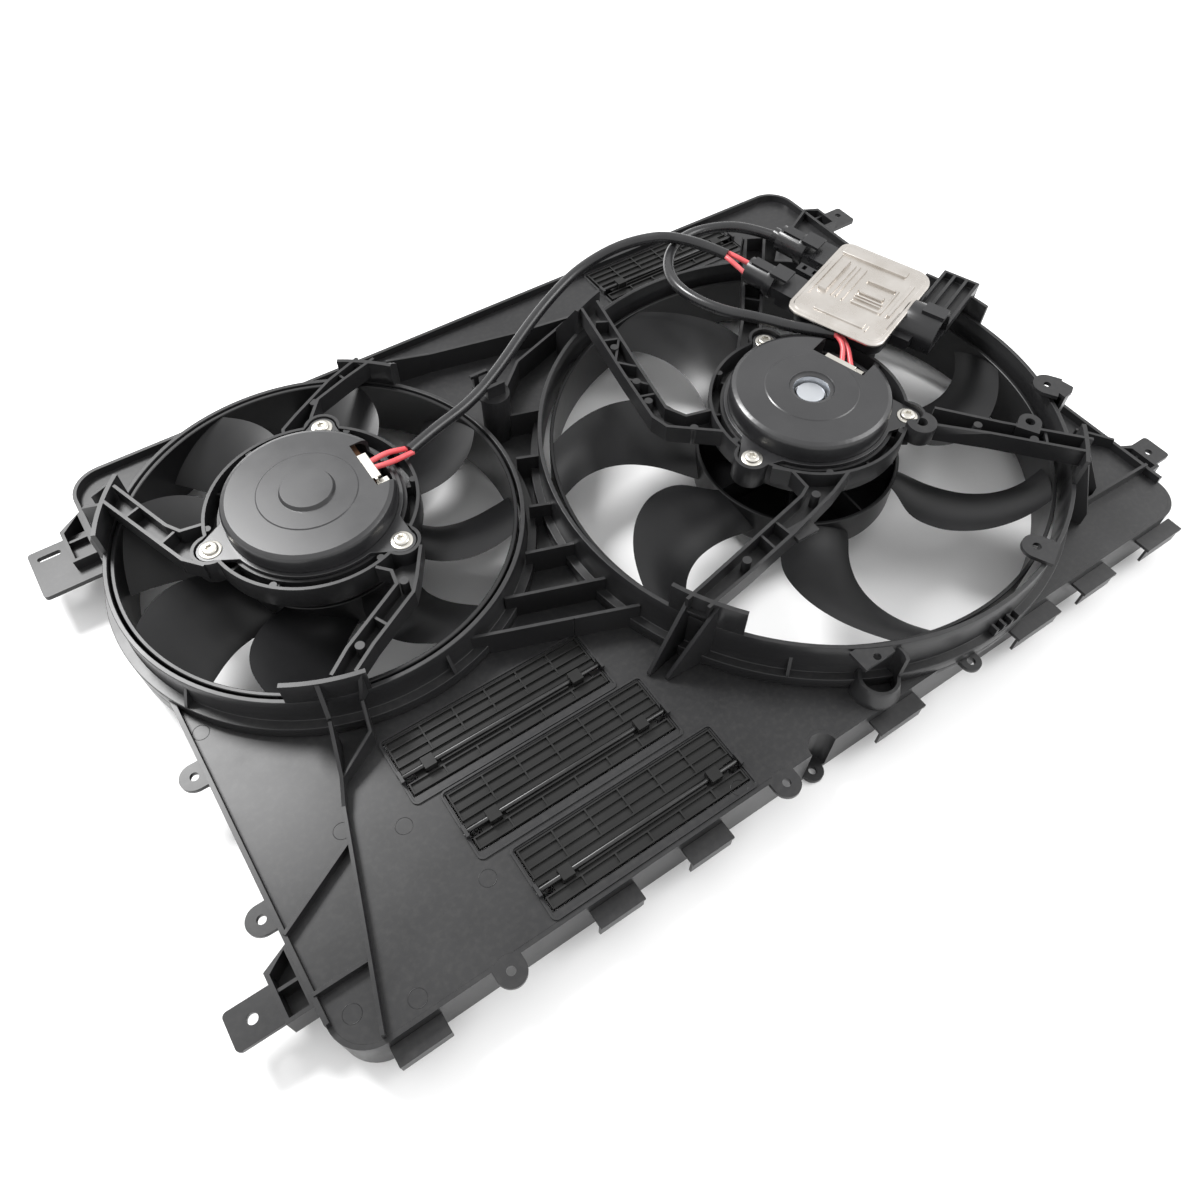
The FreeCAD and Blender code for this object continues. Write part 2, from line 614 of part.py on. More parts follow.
def large_carrier():
    cx, cy = LARGE
    deck = num("large_deck")
    lip = num("large_lip")
    duct = num("large_duct")
    keep_out = cylinder(cx, cy, 0, 100, num("carrier_radius") - 1)
    arms = arm([(387, 368), (372, 290), (364, 243), (367, 230), (400, 202)],
               [(402, 369), (386, 292), (377, 245), (384, 231), (402, 226)],
               deck, 14, pins=[(383, 318), (375.5, 279), (371, 258), (382, 219)],
               ties=[((379, 330), (392, 325)), ((392, 325), (375, 305)), ((375, 305), (386, 292)),
                     ((371, 287), (382, 272)), ((368, 266), (380, 262)), ((388, 350), (397, 345))])
    arms += arm([(403, 160), (412, 150), (411, 134), (403, 130), (340, 116.5), (290, 106)],
                [(447, 130), (423, 121), (395.5, 114), (379, 109.5), (340, 101.5), (297, 94)],
                deck, 14, pins=[(339.5, 109), (412, 126)],
                ties=[((375, 124), (377, 109)), ((360, 121), (361, 106))])
    arms += arm([(536, 140), (565, 103.5), (606, 57)], [(524, 128), (550.6, 100.6), (594, 51)],
                deck, 14, pins=[(549.6, 111.4), (572, 80)],
                ties=[((585, 81), (576, 71))])
    arms += arm([(455, 262), (481, 288), (550.5, 369)], [(478, 262), (492, 280), (564, 361.5)],
                deck, 14, ties=[((489, 298), (499, 288)), ((500, 311), (510, 300)),
                                ((512, 325), (521, 313)), ((525, 339), (535, 329))])
    arms.append(box(379, 396.5, 104.5, 116, deck - 7, deck - 4))
    arms = fused(arms).cut(keep_out)
    lug = drilled_ear(582, 92.7, 8, 3.4, deck - 8, deck, (574, 88))
    eye_x, eye_y = 514.3, 132.5
    eye = cylinder(eye_x, eye_y, deck - 9, deck + 4, 10.5)
    blocks = [arc_wall(cx, cy, duct - 3, duct, 203, 15, lip, deck),
              arc_wall(cx, cy, duct - 3, duct, 308.5, 11, lip, deck),
              arc_wall(cx, cy, duct - 3, duct, 107, 9, lip, deck),
              arc_wall(cx, cy, duct - 3, duct, 56, 9, lip, deck)]
    fins = [[(*polar(cx, cy, duct - 1, 207), 1, deck), (262, 102, 1, 3)],
            [(*polar(cx, cy, duct - 1, 212.5), 1, deck), (270, 93, 1, 3)],
            [(*polar(cx, cy, duct - 1, 310), 1, deck), (598, 30, 1, 12)],
            [(*polar(cx, cy, duct - 1, 317), 1, deck), (624, 43, 1, 12)],
            [(*polar(cx, cy, duct - 1, 108), 1, deck), (400, 398, 1, 30)],
            [(*polar(cx, cy, duct - 1, 114), 1, deck), (380, 394, 1, 26)],
            [(*polar(cx, cy, duct - 1, 58), 1, deck), (573, 372, 1, 20)],
            [(*polar(cx, cy, duct - 1, 63), 1, deck), (558, 380, 1, 20)]]
    fins = [wall_run(run, 2.6) for run in fins]
    shell = fused([arms, lug, eye] + blocks + fins)
    inside = duct_core("large", LARGE).fuse(cylinder(cx, cy, 0, lip + 6, duct - 3.5))
    whole = fused([carrier("large", LARGE), shell.cut(inside)])
    whole = whole.cut(cylinder(eye_x, eye_y, deck - 20, deck + 5, 4))
    return seated(whole, "large", LARGE)


add_node("small_motor_carrier", small_carrier())
add_node("large_motor_carrier", large_carrier())

# Motors: deep-drawn can with a wiring notch, flange, magnets, armature and shaft


def lifted_pocket(body, name, corners, lift):
    """Cuts upward from a height above the body's base plane, out through the top."""
    before = body.Shape.Volume
    sketch = new_sketch(body, "XY_Plane", name + "_outline")
    sketch.AttachmentOffset = Placement(Vector(0, 0, lift.value), Rotation())
    bind(sketch, AttachmentOffset_Base_z=lift)
    draw_polygon(sketch, corners)
    cut = body.newObject("PartDesign::Pocket", name)
    cut.Profile = sketch
    cut.Reversed = True
    cut.Length = 60
    doc.recompute()
    assert body.Shape.Volume < before - 1, name + " cut nothing"


def motor_can(prefix, centre):
    top = dim(prefix + "_can_top")
    wall = dim("can_wall")
    radius = dim("can_radius")
    low = dim(prefix + "_seat") - dim("can_depth")
    edge = 4
    if prefix == "small":
        crown = [(17, top + 2.6), (18.5, top)]
        hub = [(0, top + 2.6 - wall), (16, top + 2.6 - wall), (16, top - wall)]
        start = [(0, top + 2.6)]
    else:
        crown = []
        hub = [(15.9, top - wall)]
        start = [(15.9, top)]
    corners = start + crown + [(32.6, top), (33.4, top - 0.5), (radius - edge, top - 0.5),
                               (radius - 1.2, top - 1.7), (radius, top - 4.5), (radius, low),
                               (radius - wall, low), (radius - wall, top - wall - 4),
                               (radius - wall - 4, top - wall)]
    body = revolved_body(prefix + "_motor_can", corners + hub[::-1])
    notch = dim(prefix + "_notch")
    half = 21
    lifted_pocket(body, prefix + "_wiring_notch",
                  [(notch, size_of(-half)), (radius + 9, size_of(-half)),
                   (radius + 9, size_of(half)), (notch, size_of(half))],
                  dim(prefix + "_seat") + 5)
    return place(body, *centre, 0, num(prefix + "_notch_angle"))


def motor_flange(prefix, centre):
    """The stamped ring with three ears that the screws pass through."""
    seat = num(prefix + "_seat")
    top = seat + num("flange_thick")
    solid = flange_outline(prefix, centre, 0, seat, top)
    solid = solid.cut(cylinder(*centre, seat - 1, top + 1, num("can_radius")))
    for i in range(3):
        x, y = polar(*centre, num("screw_circle"), num(prefix + "_screw_angle") + 120 * i)
        solid = solid.cut(cylinder(x, y, seat - 1, top + 1, num("screw_hole")))
    return solid


def flange_screws(prefix, centre):
    """Three identical pan-head screws with a pressed washer."""
    top = num(prefix + "_seat") + num("flange_thick")
    screws = []
    for i in range(3):
        x, y = polar(*centre, num("screw_circle"), num(prefix + "_screw_angle") + 120 * i)
        screws.append(fused([cylinder(x, y, top, top + 1, 7.4), cylinder(x, y, top, top + 3.4, 5.2),
                             cylinder(x, y, top - 12, top + 0.5, num("screw_hole"))]))
    return Part.makeCompound(screws)


def end_bell(prefix, centre):
    """The motor's lower cover, which holds the lower bearing."""
    low = num(prefix + "_seat") - num("can_depth")
    bell = cylinder(*centre, low - 2, low, num("can_radius"))
    bell = bell.fuse(cylinder(*centre, low - 5, low, 13))
    return bell.cut(cylinder(*centre, low - 6, low + 1, 9)).removeSplitter()


def bearings(prefix, centre):
    bore = num("shaft_radius") + num("shaft_play")
    low = num(prefix + "_seat") - num("can_depth")
    top = num(prefix + "_can_top") - num("can_wall")
    pair = [tube(*centre, low - 5, low, 9, bore)]
    if prefix == "small":
        pair.append(tube(*centre, top - 5, top + 2.6, 9, bore))
    else:
        pair.append(tube(*centre, top - 8.6, top - 4.2, 9, bore))
    return Part.makeCompound(pair)


def bearing_cup(centre):
    """The bright pressed cup seen down the hole in the large motor's can."""
    cx, cy = centre
    top = num("large_can_top") - num("can_wall")
    rise = [(4.6, top - 3), (10.2, top - 3.4), (10.2, top - 8), (15.5, top - 9),
            (15.5, top - 0.2), (16.6, top - 0.2), (16.6, top - 10.2), (9, top - 8.6),
            (9, top - 4.2), (4.6, top - 4.2)]
    corners = [Vector(cx + r, cy, z) for r, z in rise]
    face = Part.Face(Part.makePolygon(corners + corners[:1]))
    return face.revolve(Vector(cx, cy, 0), UP, 360)


def magnets(prefix, centre):
    low = num(prefix + "_seat") - num("can_depth")
    arcs = [arc_wall(*centre, 49.5, num("can_radius") - num("can_wall"), 45 + 90 * i - 35, 70,
                     low + 1, low + 13) for i in range(4)]
    return Part.makeCompound(arcs)


def armature(prefix, centre):
    """The slotted iron stack."""
    cx, cy = centre
    low = num(prefix + "_seat") - num("can_depth")
    stack = cylinder(cx, cy, low + 2.5, low + 12, 48.3)
    for i in range(12):
        slot = box(cx + 24, cx + 46, cy - 3.2, cy + 3.2, low, low + 20)
        slot = slot.fuse(box(cx + 40, cx + 60, cy - 1, cy + 1, low, low + 20))
        slot.rotate(Vector(cx, cy, 0), UP, 30 * i)
        stack = stack.cut(slot)
    return stack.cut(cylinder(cx, cy, low, low + 20, num("shaft_radius")))


def windings(prefix, centre):
    """The coil heads standing out of the stack at both ends."""
    low = num(prefix + "_seat") - num("can_depth")
    upper = tube(*centre, low + 12, low + 15.5, 40, 16)
    lower = tube(*centre, low + 0.5, low + 2.5, 40, 14)
    return Part.makeCompound([upper, lower])


def commutator(prefix, centre):
    low = num(prefix + "_seat") - num("can_depth")
    return tube(*centre, low + 12, low + 16.5, 11, num("shaft_radius"))


def brush_card(prefix, centre):
    """The insulating card with two brush boxes beside the commutator."""
    cx, cy = centre
    low = num(prefix + "_seat") - num("can_depth")
    card = tube(cx, cy, low + 17, low + 18.5, num("can_radius") - num("can_wall"), 13)
    angle = num(prefix + "_notch_angle")
    parts = [card]
    for turn in (55, 235):
        brush = box(cx + 11.3, cx + 15.5, cy - 3.5, cy + 3.5, low + 12.6, low + 17)
        holder = box(cx + 15, cx + 33, cy - 4.5, cy + 4.5, low + 15.8, low + 17)
        holder.rotate(Vector(cx, cy, 0), UP, angle + turn)
        parts.append(holder)
        brush.rotate(Vector(cx, cy, 0), UP, angle + turn)
        parts.append(brush)
    notch = box(cx + num(prefix + "_notch") + 6, cx + 70, cy - 30, cy + 30, low, low + 40)
    notch.rotate(Vector(cx, cy, 0), UP, angle)
    return fused(parts).cut(notch)


def terminal_plate(prefix, centre):
    """The bright cover plate and its lug in the wiring notch."""
    cx, cy = centre
    card = num(prefix + "_seat") - num("can_depth") + 18.5
    base = num(prefix + "_can_top") - 4
    reach = num(prefix + "_notch")
    plate = box(cx + reach - 3, cx + reach + 7, cy - 12, cy + 12, base, base + 1.2)
    lug = box(cx + reach + 5.8, cx + reach + 7, cy - 9, cy + 9, base - 7, base)
    prong = box(cx + reach + 8.5, cx + reach + 11, cy - 17, cy - 11, base - 8, base - 3)
    arm_up = box(cx + reach + 2, cx + reach + 11, cy - 17, cy - 11, base - 3.6, base - 3)
    post = box(cx + reach + 2, cx + reach + 4, cy - 14, cy - 11, card, base + 1.2)
    whole = fused([plate, lug, prong, arm_up, post])
    whole.rotate(Vector(cx, cy, 0), UP, num(prefix + "_notch_angle"))
    return whole


def fan_shaft(prefix, centre):
    """A Part cylinder from under the hub to the upper bearing."""
    shaft = doc.addObject("Part::Cylinder", prefix + "_motor_shaft")
    bind(shaft, Radius=dim("shaft_radius"),
         Height=dim(prefix + "_can_top") - dim(prefix + "_ring_bottom") - (1 if prefix == "small" else 5.2) + 5)
    return place(shaft, *centre, num(prefix + "_ring_bottom") - 5)


# Fans: hub cup, swept blades and the ring that joins their tips

BLADE_ANGLES = {"small": [11.4, 56, 101.3, 145.6, 190.7, 235.6, 283.1, 325.7],
                "large": [339.1, 31, 84.5, 137.7, 184.2, 237, 295.9]}
# Each station from hub to tip: the leading edge's way round and height, then the trailing edge's
BLADE_EDGES = {
    "small": [(29.4, -7, -15.9, 15.2), (24.8, -4.8, -23, 18.4), (25.6, -2.5, -27.2, 21.5),
              (30.3, -0.2, -27.3, 24.4), (37.6, 2.1, -21.7, 27), (46, 4.4, -9.4, 29.2)],
    "large": [(30.9, -2.6, -3.9, 13.2), (26.8, -0.2, -22.3, 15.4), (27.1, 2.2, -27.3, 17.4),
              (34.2, 4.6, -19.2, 19.4), (50.3, 7, 1.4, 21.2), (77.9, 9.4, 34.2, 22.8)],
}


def blade_section(cx, cy, radius, station):
    """A thin cambered outline between the leading and trailing edge at one radius."""
    lead_arc, lead_z, trail_arc, trail_z = station
    ends = []
    for arc, height in ((lead_arc, lead_z), (trail_arc, trail_z)):
        x, y = polar(cx, cy, radius, math.degrees(arc / radius))
        ends.append(Vector(x, y, height))
    lead, trail = ends
    middle = (lead + trail) * 0.5
    out = (Vector(middle.x - cx, middle.y - cy, 0)).normalize()
    normal = out.cross(trail - lead).normalize()
    if normal.z < 0:
        normal = normal * -1
    crest = middle + normal * 3
    thin, thick = 0.6, 1.3
    corners = [lead - normal * thin, lead + normal * thin, crest + normal * thick,
               trail + normal * thin, trail - normal * thin, crest - normal * thick]
    return Part.makePolygon(corners + corners[:1])


def fan(prefix, centre):
    cx, cy = centre
    hub = num(prefix + "_hub")
    tip = num(prefix + "_tip")
    low = num(prefix + "_ring_bottom")
    top = num(prefix + "_ring_top")
    brim = num(prefix + "_hub_top")
    ring = num("ring_wall")
    stations = BLADE_EDGES[prefix]
    step = (tip - hub) / (len(stations) - 1)
    radii = [hub + step * i for i in range(len(stations))]
    radii[0] -= 2.5
    radii[-1] += 9
    sections = [blade_section(cx, cy, r, station) for r, station in zip(radii, stations)]
    blade = Part.makeLoft(sections, True, True)
    blade = blade.common(tube(cx, cy, low, top, tip + ring / 2, hub - 1.5))
    profile = [(0, low), (hub - 3, low), (hub, low + 3), (hub, brim), (hub - 2.6, brim),
               (hub - 2.6, low + 4.5), (hub - 4.5, low + 3), (12, low + 3), (11, brim + 6), (0, brim + 6)]
    corners = [Vector(cx + r, cy, z) for r, z in profile]
    cup = Part.Face(Part.makePolygon(corners + corners[:1])).revolve(Vector(cx, cy, 0), UP, 360)
    parts = [cup, tube(cx, cy, low, top, tip + ring, tip)]
    for i in range(8):
        a = polar(cx, cy, 10, 45 * i)
        b = polar(cx, cy, hub - 1.5, 45 * i)
        parts.append(wall_run([(*a, low + 2, brim), (*b, low + 2, brim - 4)], 1.8))
    for angle in BLADE_ANGLES[prefix]:
        copy = blade.copy()
        copy.rotate(Vector(cx, cy, 0), UP, angle)
        parts.append(copy)
    solid = fused(parts)
    return solid.cut(cylinder(cx, cy, low - 1, brim + 8, num("shaft_radius")))


def fan_nut(prefix, centre):
    """The hexagonal nut that holds the hub on the shaft."""
    low = num(prefix + "_ring_bottom")
    corners = [polar(*centre, 7.5, 60 * i) for i in range(6)]
    return prism(corners, low - 4, low).cut(cylinder(*centre, low - 5, low + 1, num("shaft_radius")))


for prefix, centre in (("small", SMALL), ("large", LARGE)):
    add_node(prefix + "_motor_can", motor_can(prefix, centre))
    add_node(prefix + "_motor_flange", motor_flange(prefix, centre))
    add_node(prefix + "_motor_screws", flange_screws(prefix, centre))
    add_node(prefix + "_motor_end_bell", end_bell(prefix, centre))
    add_node(prefix + "_motor_bearings", bearings(prefix, centre))
    add_node(prefix + "_motor_magnets", magnets(prefix, centre))
    add_node(prefix + "_motor_brush_card", brush_card(prefix, centre))
    add_node(prefix + "_motor_terminal", terminal_plate(prefix, centre))
    add_node(prefix + "_fan", fan(prefix, centre))
    add_node(prefix + "_motor_shaft", fan_shaft(prefix, centre))
    add_node(prefix + "_armature_stack", armature(prefix, centre))
    add_node(prefix + "_armature_windings", windings(prefix, centre))
    add_node(prefix + "_commutator", commutator(prefix, centre))
    add_node(prefix + "_fan_nut", fan_nut(prefix, centre))
add_node("large_motor_bearing_cup", bearing_cup(LARGE))


# Ram-air doors: a ribbed flap that snaps over its rod with two knuckle clips


def air_door(x, y):
    rod_z = num("rod_height")
    knuckle = num("rod_radius") + num("rod_play")
    near = y - BELOW
    far = y + ABOVE
    flap = box(x, x + DOOR_LENGTH, near, far, -1.6, -0.2)
    parts = [flap]
    for row in (near, near + 7, y + 7, y + 13.5, y + 20, far - 1.1):
        parts.append(box(x, x + DOOR_LENGTH, row, row + 1.1, -0.4, 1.5))
    for i in range(7):
        post = x + i * (DOOR_LENGTH - 1.1) / 6
        parts.append(box(post, post + 1.1, near, near + 8, -0.4, 1.5))
        parts.append(box(post, post + 1.1, y + 7, far, -0.4, 1.5))
    parts.append(box(x + 24, x + DOOR_LENGTH - 24, y - 3, y - 1.8, -0.4, 2.2))
    for start in (x + 13, x + DOOR_LENGTH - 21):
        parts.append(box(start, start + 8, y - 4, y + 4, -0.4, rod_z + 3.2))
    solid = fused(parts)
    solid = solid.cut(Part.makeCylinder(knuckle, DOOR_LENGTH + 2, Vector(x - 1, y, rod_z), Vector(1, 0, 0)))
    for start in (x - 1, x + DOOR_LENGTH - 7):
        solid = solid.cut(box(start, start + 8, y - 5, y + 3, -3, 5))
    return solid


def door_rods():
    """The four plain rods, each held by the cheeks at the ends of its window."""
    return Part.makeCompound([Part.makeCylinder(num("rod_radius"), DOOR_LENGTH + 6,
                                                Vector(x - 3, y, num("rod_height")), Vector(1, 0, 0))
                              for x, y in DOORS])


for index, (x, y) in enumerate(DOORS, start=1):
    add_node(f"air_door_{index}", air_door(x, y))
add_node("air_door_rods", door_rods())


# Mounting feet, edge clips, fixing lugs and the cable tower

FOOT = num("foot_level")


def mounting_foot(edge, reach, bracket, tab, cut):
    """A hollow bracket on the skirt with a flat tab; edge and reach are plan X values."""
    y0, y1, slope = bracket
    sign = 1 if reach > edge else -1
    depth = -num("bracket_depth")
    skin = RIB + 0.3
    start = edge
    shell = prism([(start, y0), (reach, y0), (reach, y1 - slope), (start, y1)], depth, 0)
    hollow = prism([(start + sign * skin, y0 + skin), (reach - sign * skin, y0 + skin),
                    (reach - sign * skin, y1 - slope - skin), (start + sign * skin, y1 - skin)],
                   depth + skin, 1)
    web = prism([(start, (y0 + y1) / 2 - 1), (reach, (y0 + y1) / 2 - 1),
                 (reach, (y0 + y1) / 2 + 1), (start, (y0 + y1) / 2 + 1)], depth, -3)
    tx0, tx1, ty0, ty1 = tab
    plate = box(min(tx0, tx1), max(tx0, tx1), ty0, ty1, FOOT - num("foot_thick"), FOOT)
    corners = [e for e in plate.Edges
               if abs(e.Vertexes[0].Z - e.Vertexes[1].Z) > 0.1 and abs(e.Vertexes[0].X - tx1) < 0.1]
    plate = plate.makeFillet(3, corners)
    return fused([shell.cut(hollow), web, plate]).cut(cut)


def slot_cutter(x, y, half, radius):
    """An oblong hole along X through a foot's tab."""
    ends = [cylinder(x - half, y, FOOT - 9, FOOT + 5, radius), cylinder(x + half, y, FOOT - 9, FOOT + 5, radius)]
    return fused(ends + [box(x - half, x + half, y - radius, y + radius, FOOT - 9, FOOT + 5)])


def foot_hole(x, y, radius):
    return cylinder(x, y, FOOT - 9, FOOT + 5, radius)


# Left and right end of each channel clip on the near skirt
CLIPS = [(22, 53), (148, 179), (213, 244), (364, 403), (492, 535), (560, 594), (630, 668)]
# Middle of the round lug that stands beside the large duct
ROUND_LUG = (377.7, 14)

add_node("mounting_foot_near_left", mounting_foot(
    0, -16.5, (37, 76, 8), (-15.5, -44.5, 40.6, 63.8), foot_hole(-31.3, 52.7, 3.2)))
add_node("mounting_foot_far_left", mounting_foot(
    0, -18, (398, 442, 12), (-0.5, -44.5, 385.6, 430), slot_cutter(-31.3, 421, 6, 2.2)))
add_node("mounting_foot_near_right", mounting_foot(
    L, L + 15, (34, 68, 8), (L + 14, L + 41, 39.5, 62.9), foot_hole(L + 29.6, 50.7, 2.8)))
add_node("mounting_foot_far_right", mounting_foot(
    L, L + 20, (404, 440, 10), (L + 19, L + 47, 404.8, 428.2), foot_hole(L + 38, 419, 2.8)))


def edge_clips():
    """Seven hooked clips along the near skirt that hold the condenser's seal."""
    clips = []
    for left, right in CLIPS:
        hook = box(left, right, -11, 0, -12.5, -10).fuse(box(left, right, -11, -9, -24, -10))
        clips.append(hook.fuse(box(left, right, -12, -11, -12.5, -10)).removeSplitter())
    return Part.makeCompound(clips)


def fixing_lugs():
    duct = duct_core("large", LARGE)
    corner = fused([drilled_ear(641, 120, 10.5, 2.6, 41, 44, (646, 112)),
                    prism([(641, 103), (650, 104), (655, 107), (652, 122), (641, 130)], 41, 44).cut(
                        cylinder(641, 120, 40, 45, 2.6)),
                    wall_run([(641, 104, 0, 42), (654, 107.5, 0, 42), (651.5, 121, 0, 42)], RIB)])
    inner = fused([drilled_ear(518, 21, 10, 3, 37.5, 40.5, (524, 9)),
                   wall_run([(514, 10, 10, 38), (530, 14, 10, 38)], RIB)])
    eye_plate = prism([(360, 30), (360, 15.2), (384.5, 15.2), (386, 30)], 34, 37)
    mouth = Part.makeCone(17, 13.5, 14, Vector(*ROUND_LUG, 0), UP)
    round_lug = fused([eye_plate.cut(cylinder(372.4, 18.6, 33, 38, 2.6)),
                       mouth.cut(cylinder(*ROUND_LUG, -1, 15, 11.3)),
                       arc_wall(*ROUND_LUG, 11.3, 13.5, -35, 100, 13, 35)])
    comb = fused([box(464, 487, -4.6, -1.5, 10, 12.5)]
                 + [box(464 + 7 * i, 466 + 7 * i, -4.6, 1, 10, 17) for i in range(4)])
    below = box(300, 700, -30, 200, -30, 0)
    return Part.makeCompound([lug.cut(duct).cut(below) for lug in (corner, inner, round_lug, comb)])


add_node("edge_clips", edge_clips())
add_node("duct_fixing_lugs", fixing_lugs())
add_node("cable_tower", cable_tower())


# Control module: housing with two headers and the vehicle socket, lid, board and bracket

MODULE = (num("module_x"), num("module_y"))
TURN = num("module_angle")
BASE = num("module_base")
LID = num("module_top")
HALF_U = num("lid_length") / 2
HALF_V = num("lid_width") / 2
SOCKET = (8, 17)
# The tub stops short of the lid on the side where the large motor's cable runs
TUB_LEFT = 7.9 - HALF_U
# How far along the housing's long side each motor header stands
HEADERS = {"small": -20, "large": 30.5}


def in_module(shape):
    """Turns a shape drawn about the module's middle into its place on the tray."""
    shape.rotate(Vector(0, 0, 0), UP, TURN)
    shape.translate(Vector(*MODULE, 0))
    return shape


def tipped(shape):
    """Leans a header or a plug up and outward from the housing's far side."""
    shape.rotate(Vector(0, HALF_V, BASE + 6), Vector(1, 0, 0), num("plug_tilt"))
    return shape


def upright_edges(solid, u, v):
    """The upright edges that lie outside the given half sizes."""
    return [e for e in solid.Edges
            if abs(e.Vertexes[0].Z - e.Vertexes[-1].Z) > 1
            and abs(e.Vertexes[0].X) > u and abs(e.Vertexes[0].Y) > v]


def socket_solid(radius, v0, v1, sill):
    """The rounded vehicle socket, flat underneath."""
    middle = BASE + 2
    barrel = Part.makeCylinder(radius, v1 - v0, Vector(SOCKET[0], v0, middle), Vector(0, 1, 0))
    skirt = box(SOCKET[0] - radius, SOCKET[0] + radius, v0, v1, middle - sill, middle)
    barrel = barrel.common(box(-80, 80, v0 - 1, v1 + 1, middle - 0.01, middle + radius))
    return barrel.fuse(skirt).removeSplitter()


def module_housing():
    tub = box(TUB_LEFT, HALF_U - 1.5, -HALF_V + 1.5, HALF_V - 1.5, BASE, LID - 4)
    tub = tub.makeFillet(9, upright_edges(tub, 20, 20))
    hollow = box(TUB_LEFT + 3.5, HALF_U - 5, -HALF_V + 5, HALF_V - 5, BASE + 2.5, LID)
    parts = [tub.cut(hollow)]
    for u in HEADERS.values():
        parts.append(tipped(box(u - 13.3, u + 13.3, HALF_V - 3, HALF_V + 16, BASE - 0.5, BASE + 12.5)))
    block = box(0, 9.5, HALF_V - 3, HALF_V + 18.5, BASE + 4, BASE + 11.5)
    for v in (HALF_V + 3, HALF_V + 12):
        block = block.cut(box(3, 8, v, v + 3, BASE + 8, BASE + 12))
    parts.append(tipped(block))
    parts.append(box(29, 48, HALF_V - 18, HALF_V - 1, BASE - 2, BASE + 1))
    parts.append(socket_solid(SOCKET[1], -HALF_V - 27, -HALF_V + 2, 7))
    parts.append(box(2, 14, -HALF_V - 27, -HALF_V - 10, BASE + 18, BASE + 21))
    parts.append(box(SOCKET[0] - 24, SOCKET[0] - 16, -HALF_V - 12, -HALF_V + 4, BASE - 3, BASE + 5))
    solid = fused(parts)
    solid = solid.cut(socket_solid(SOCKET[1] - 2.4, -HALF_V - 28, -HALF_V - 3, 4.6))
    for u in HEADERS.values():
        mouth = box(u - 10.8, u + 10.8, HALF_V + 6, HALF_V + 18, BASE + 2, BASE + 10.2)
        solid = solid.cut(tipped(mouth))
    solid = solid.cut(box(-HALF_U - 1, HALF_U + 1, -HALF_V - 0.3, HALF_V + 0.3, LID - 4, LID + 10))
    return in_module(solid)


# Raised ribs of the lid about its middle: left, right, near and far edge of each
LID_RIBS = [(-30, 8, 21, 25), (-32, 9, 16, 17.6), (-32, 9, 11, 12.6), (-20, -14, -24, 2), (-8, -2, -24, 2),
            (4, 10, -24, 2), (-42, -38, 22, 25), (-43, 38, 31.5, 32.7), (-43, 38, -33.5, -32.3),
            (41, 42.2, -28, 28)]


def module_lid():
    """A PartDesign lid: pad with clipped corners, rounded brow and raised ribs."""
    u, v = dim("lid_length") * 0.5, dim("lid_width") * 0.5
    cut = 9
    corners = [(u * -1 + cut, v * -1), (u - cut, v * -1), (u, v * -1 + cut), (u, v - cut),
               (u - cut, v), (u * -1 + cut, v), (u * -1, v - cut), (u * -1, v * -1 + cut)]
    body = padded_body("module_lid", corners, size_of(4))
    slab = body.Tip
    top_edges = [f"Edge{i}" for i, edge in enumerate(slab.Shape.Edges, start=1)
                 if edge.BoundBox.ZMin > 3.9]
    brow = body.newObject("PartDesign::Fillet", "lid_brow")
    brow.Base = (slab, top_edges)
    brow.Radius = 1.8
    doc.recompute()
    sketch = new_sketch(body, "XY_Plane", "lid_rib_outlines")
    for u0, u1, v0, v1 in LID_RIBS:
        points = [Vector(u0, v0, 0), Vector(u1, v0, 0), Vector(u1, v1, 0), Vector(u0, v1, 0)]
        for k in range(4):
            sketch.addGeometry(Part.LineSegment(points[k], points[(k + 1) % 4]), False)
    ribs = body.newObject("PartDesign::Pad", "lid_ribs")
    ribs.Profile = sketch
    ribs.Length = 4.9
    doc.recompute()
    return place(body, *MODULE, LID - 4, TURN)


def circuit_board():
    board = box(TUB_LEFT + 4.5, HALF_U - 6, -HALF_V + 6, HALF_V - 6, BASE + 5, BASE + 6.6)
    posts = [box(u - 3, u + 3, v - 3, v + 3, BASE + 2.5, BASE + 5) for u in (-32, 36) for v in (-25, 25)]
    parts = [board] + posts + [box(-30, -12, -20, 10, BASE + 6.6, BASE + 10), box(4, 26, -8, 14, BASE + 6.6, BASE + 9)]
    return in_module(fused(parts))


def socket_pins():
    pins = [box(SOCKET[0] + u - 1.2, SOCKET[0] + u + 1.2, -HALF_V - 12, -HALF_V - 3, BASE + z, BASE + z + 0.9)
            for u, z in ((-9, 2), (-3, 2), (3, 2), (9, 2), (-5, 8), (5, 8))]
    return Part.makeCompound([in_module(pin) for pin in pins])


def module_bracket():
    """The ribbed holder that stands on the large duct beside the socket."""
    deck = 50
    parts = [box(27, 92, -64, -34, deck, deck + 2.5), box(28, 48, -36, -20, BASE - 3, BASE),
             box(27, 50, -36.5, -34, deck, BASE)]
    for v in (-64, -55, -45, -36.5):
        parts.append(box(27, 92, v, v + 2.5, deck, deck + 8))
    parts.append(box(89.5, 92, -64, -34, deck - 8, deck + 8))
    holder = in_module(fused(parts))
    cx, cy = LARGE
    duct = num("large_duct")
    post = arc_wall(cx, cy, duct + 0.7, duct + 3.4, 2, 17, num("foot_height"), deck + 2)
    return fused([holder, post])


add_node("module_housing", module_housing())
add_node("module_lid", module_lid())
add_node("module_circuit_board", circuit_board())
add_node("vehicle_socket_pins", socket_pins())
add_node("module_bracket", module_bracket())


# Motor plugs and cables

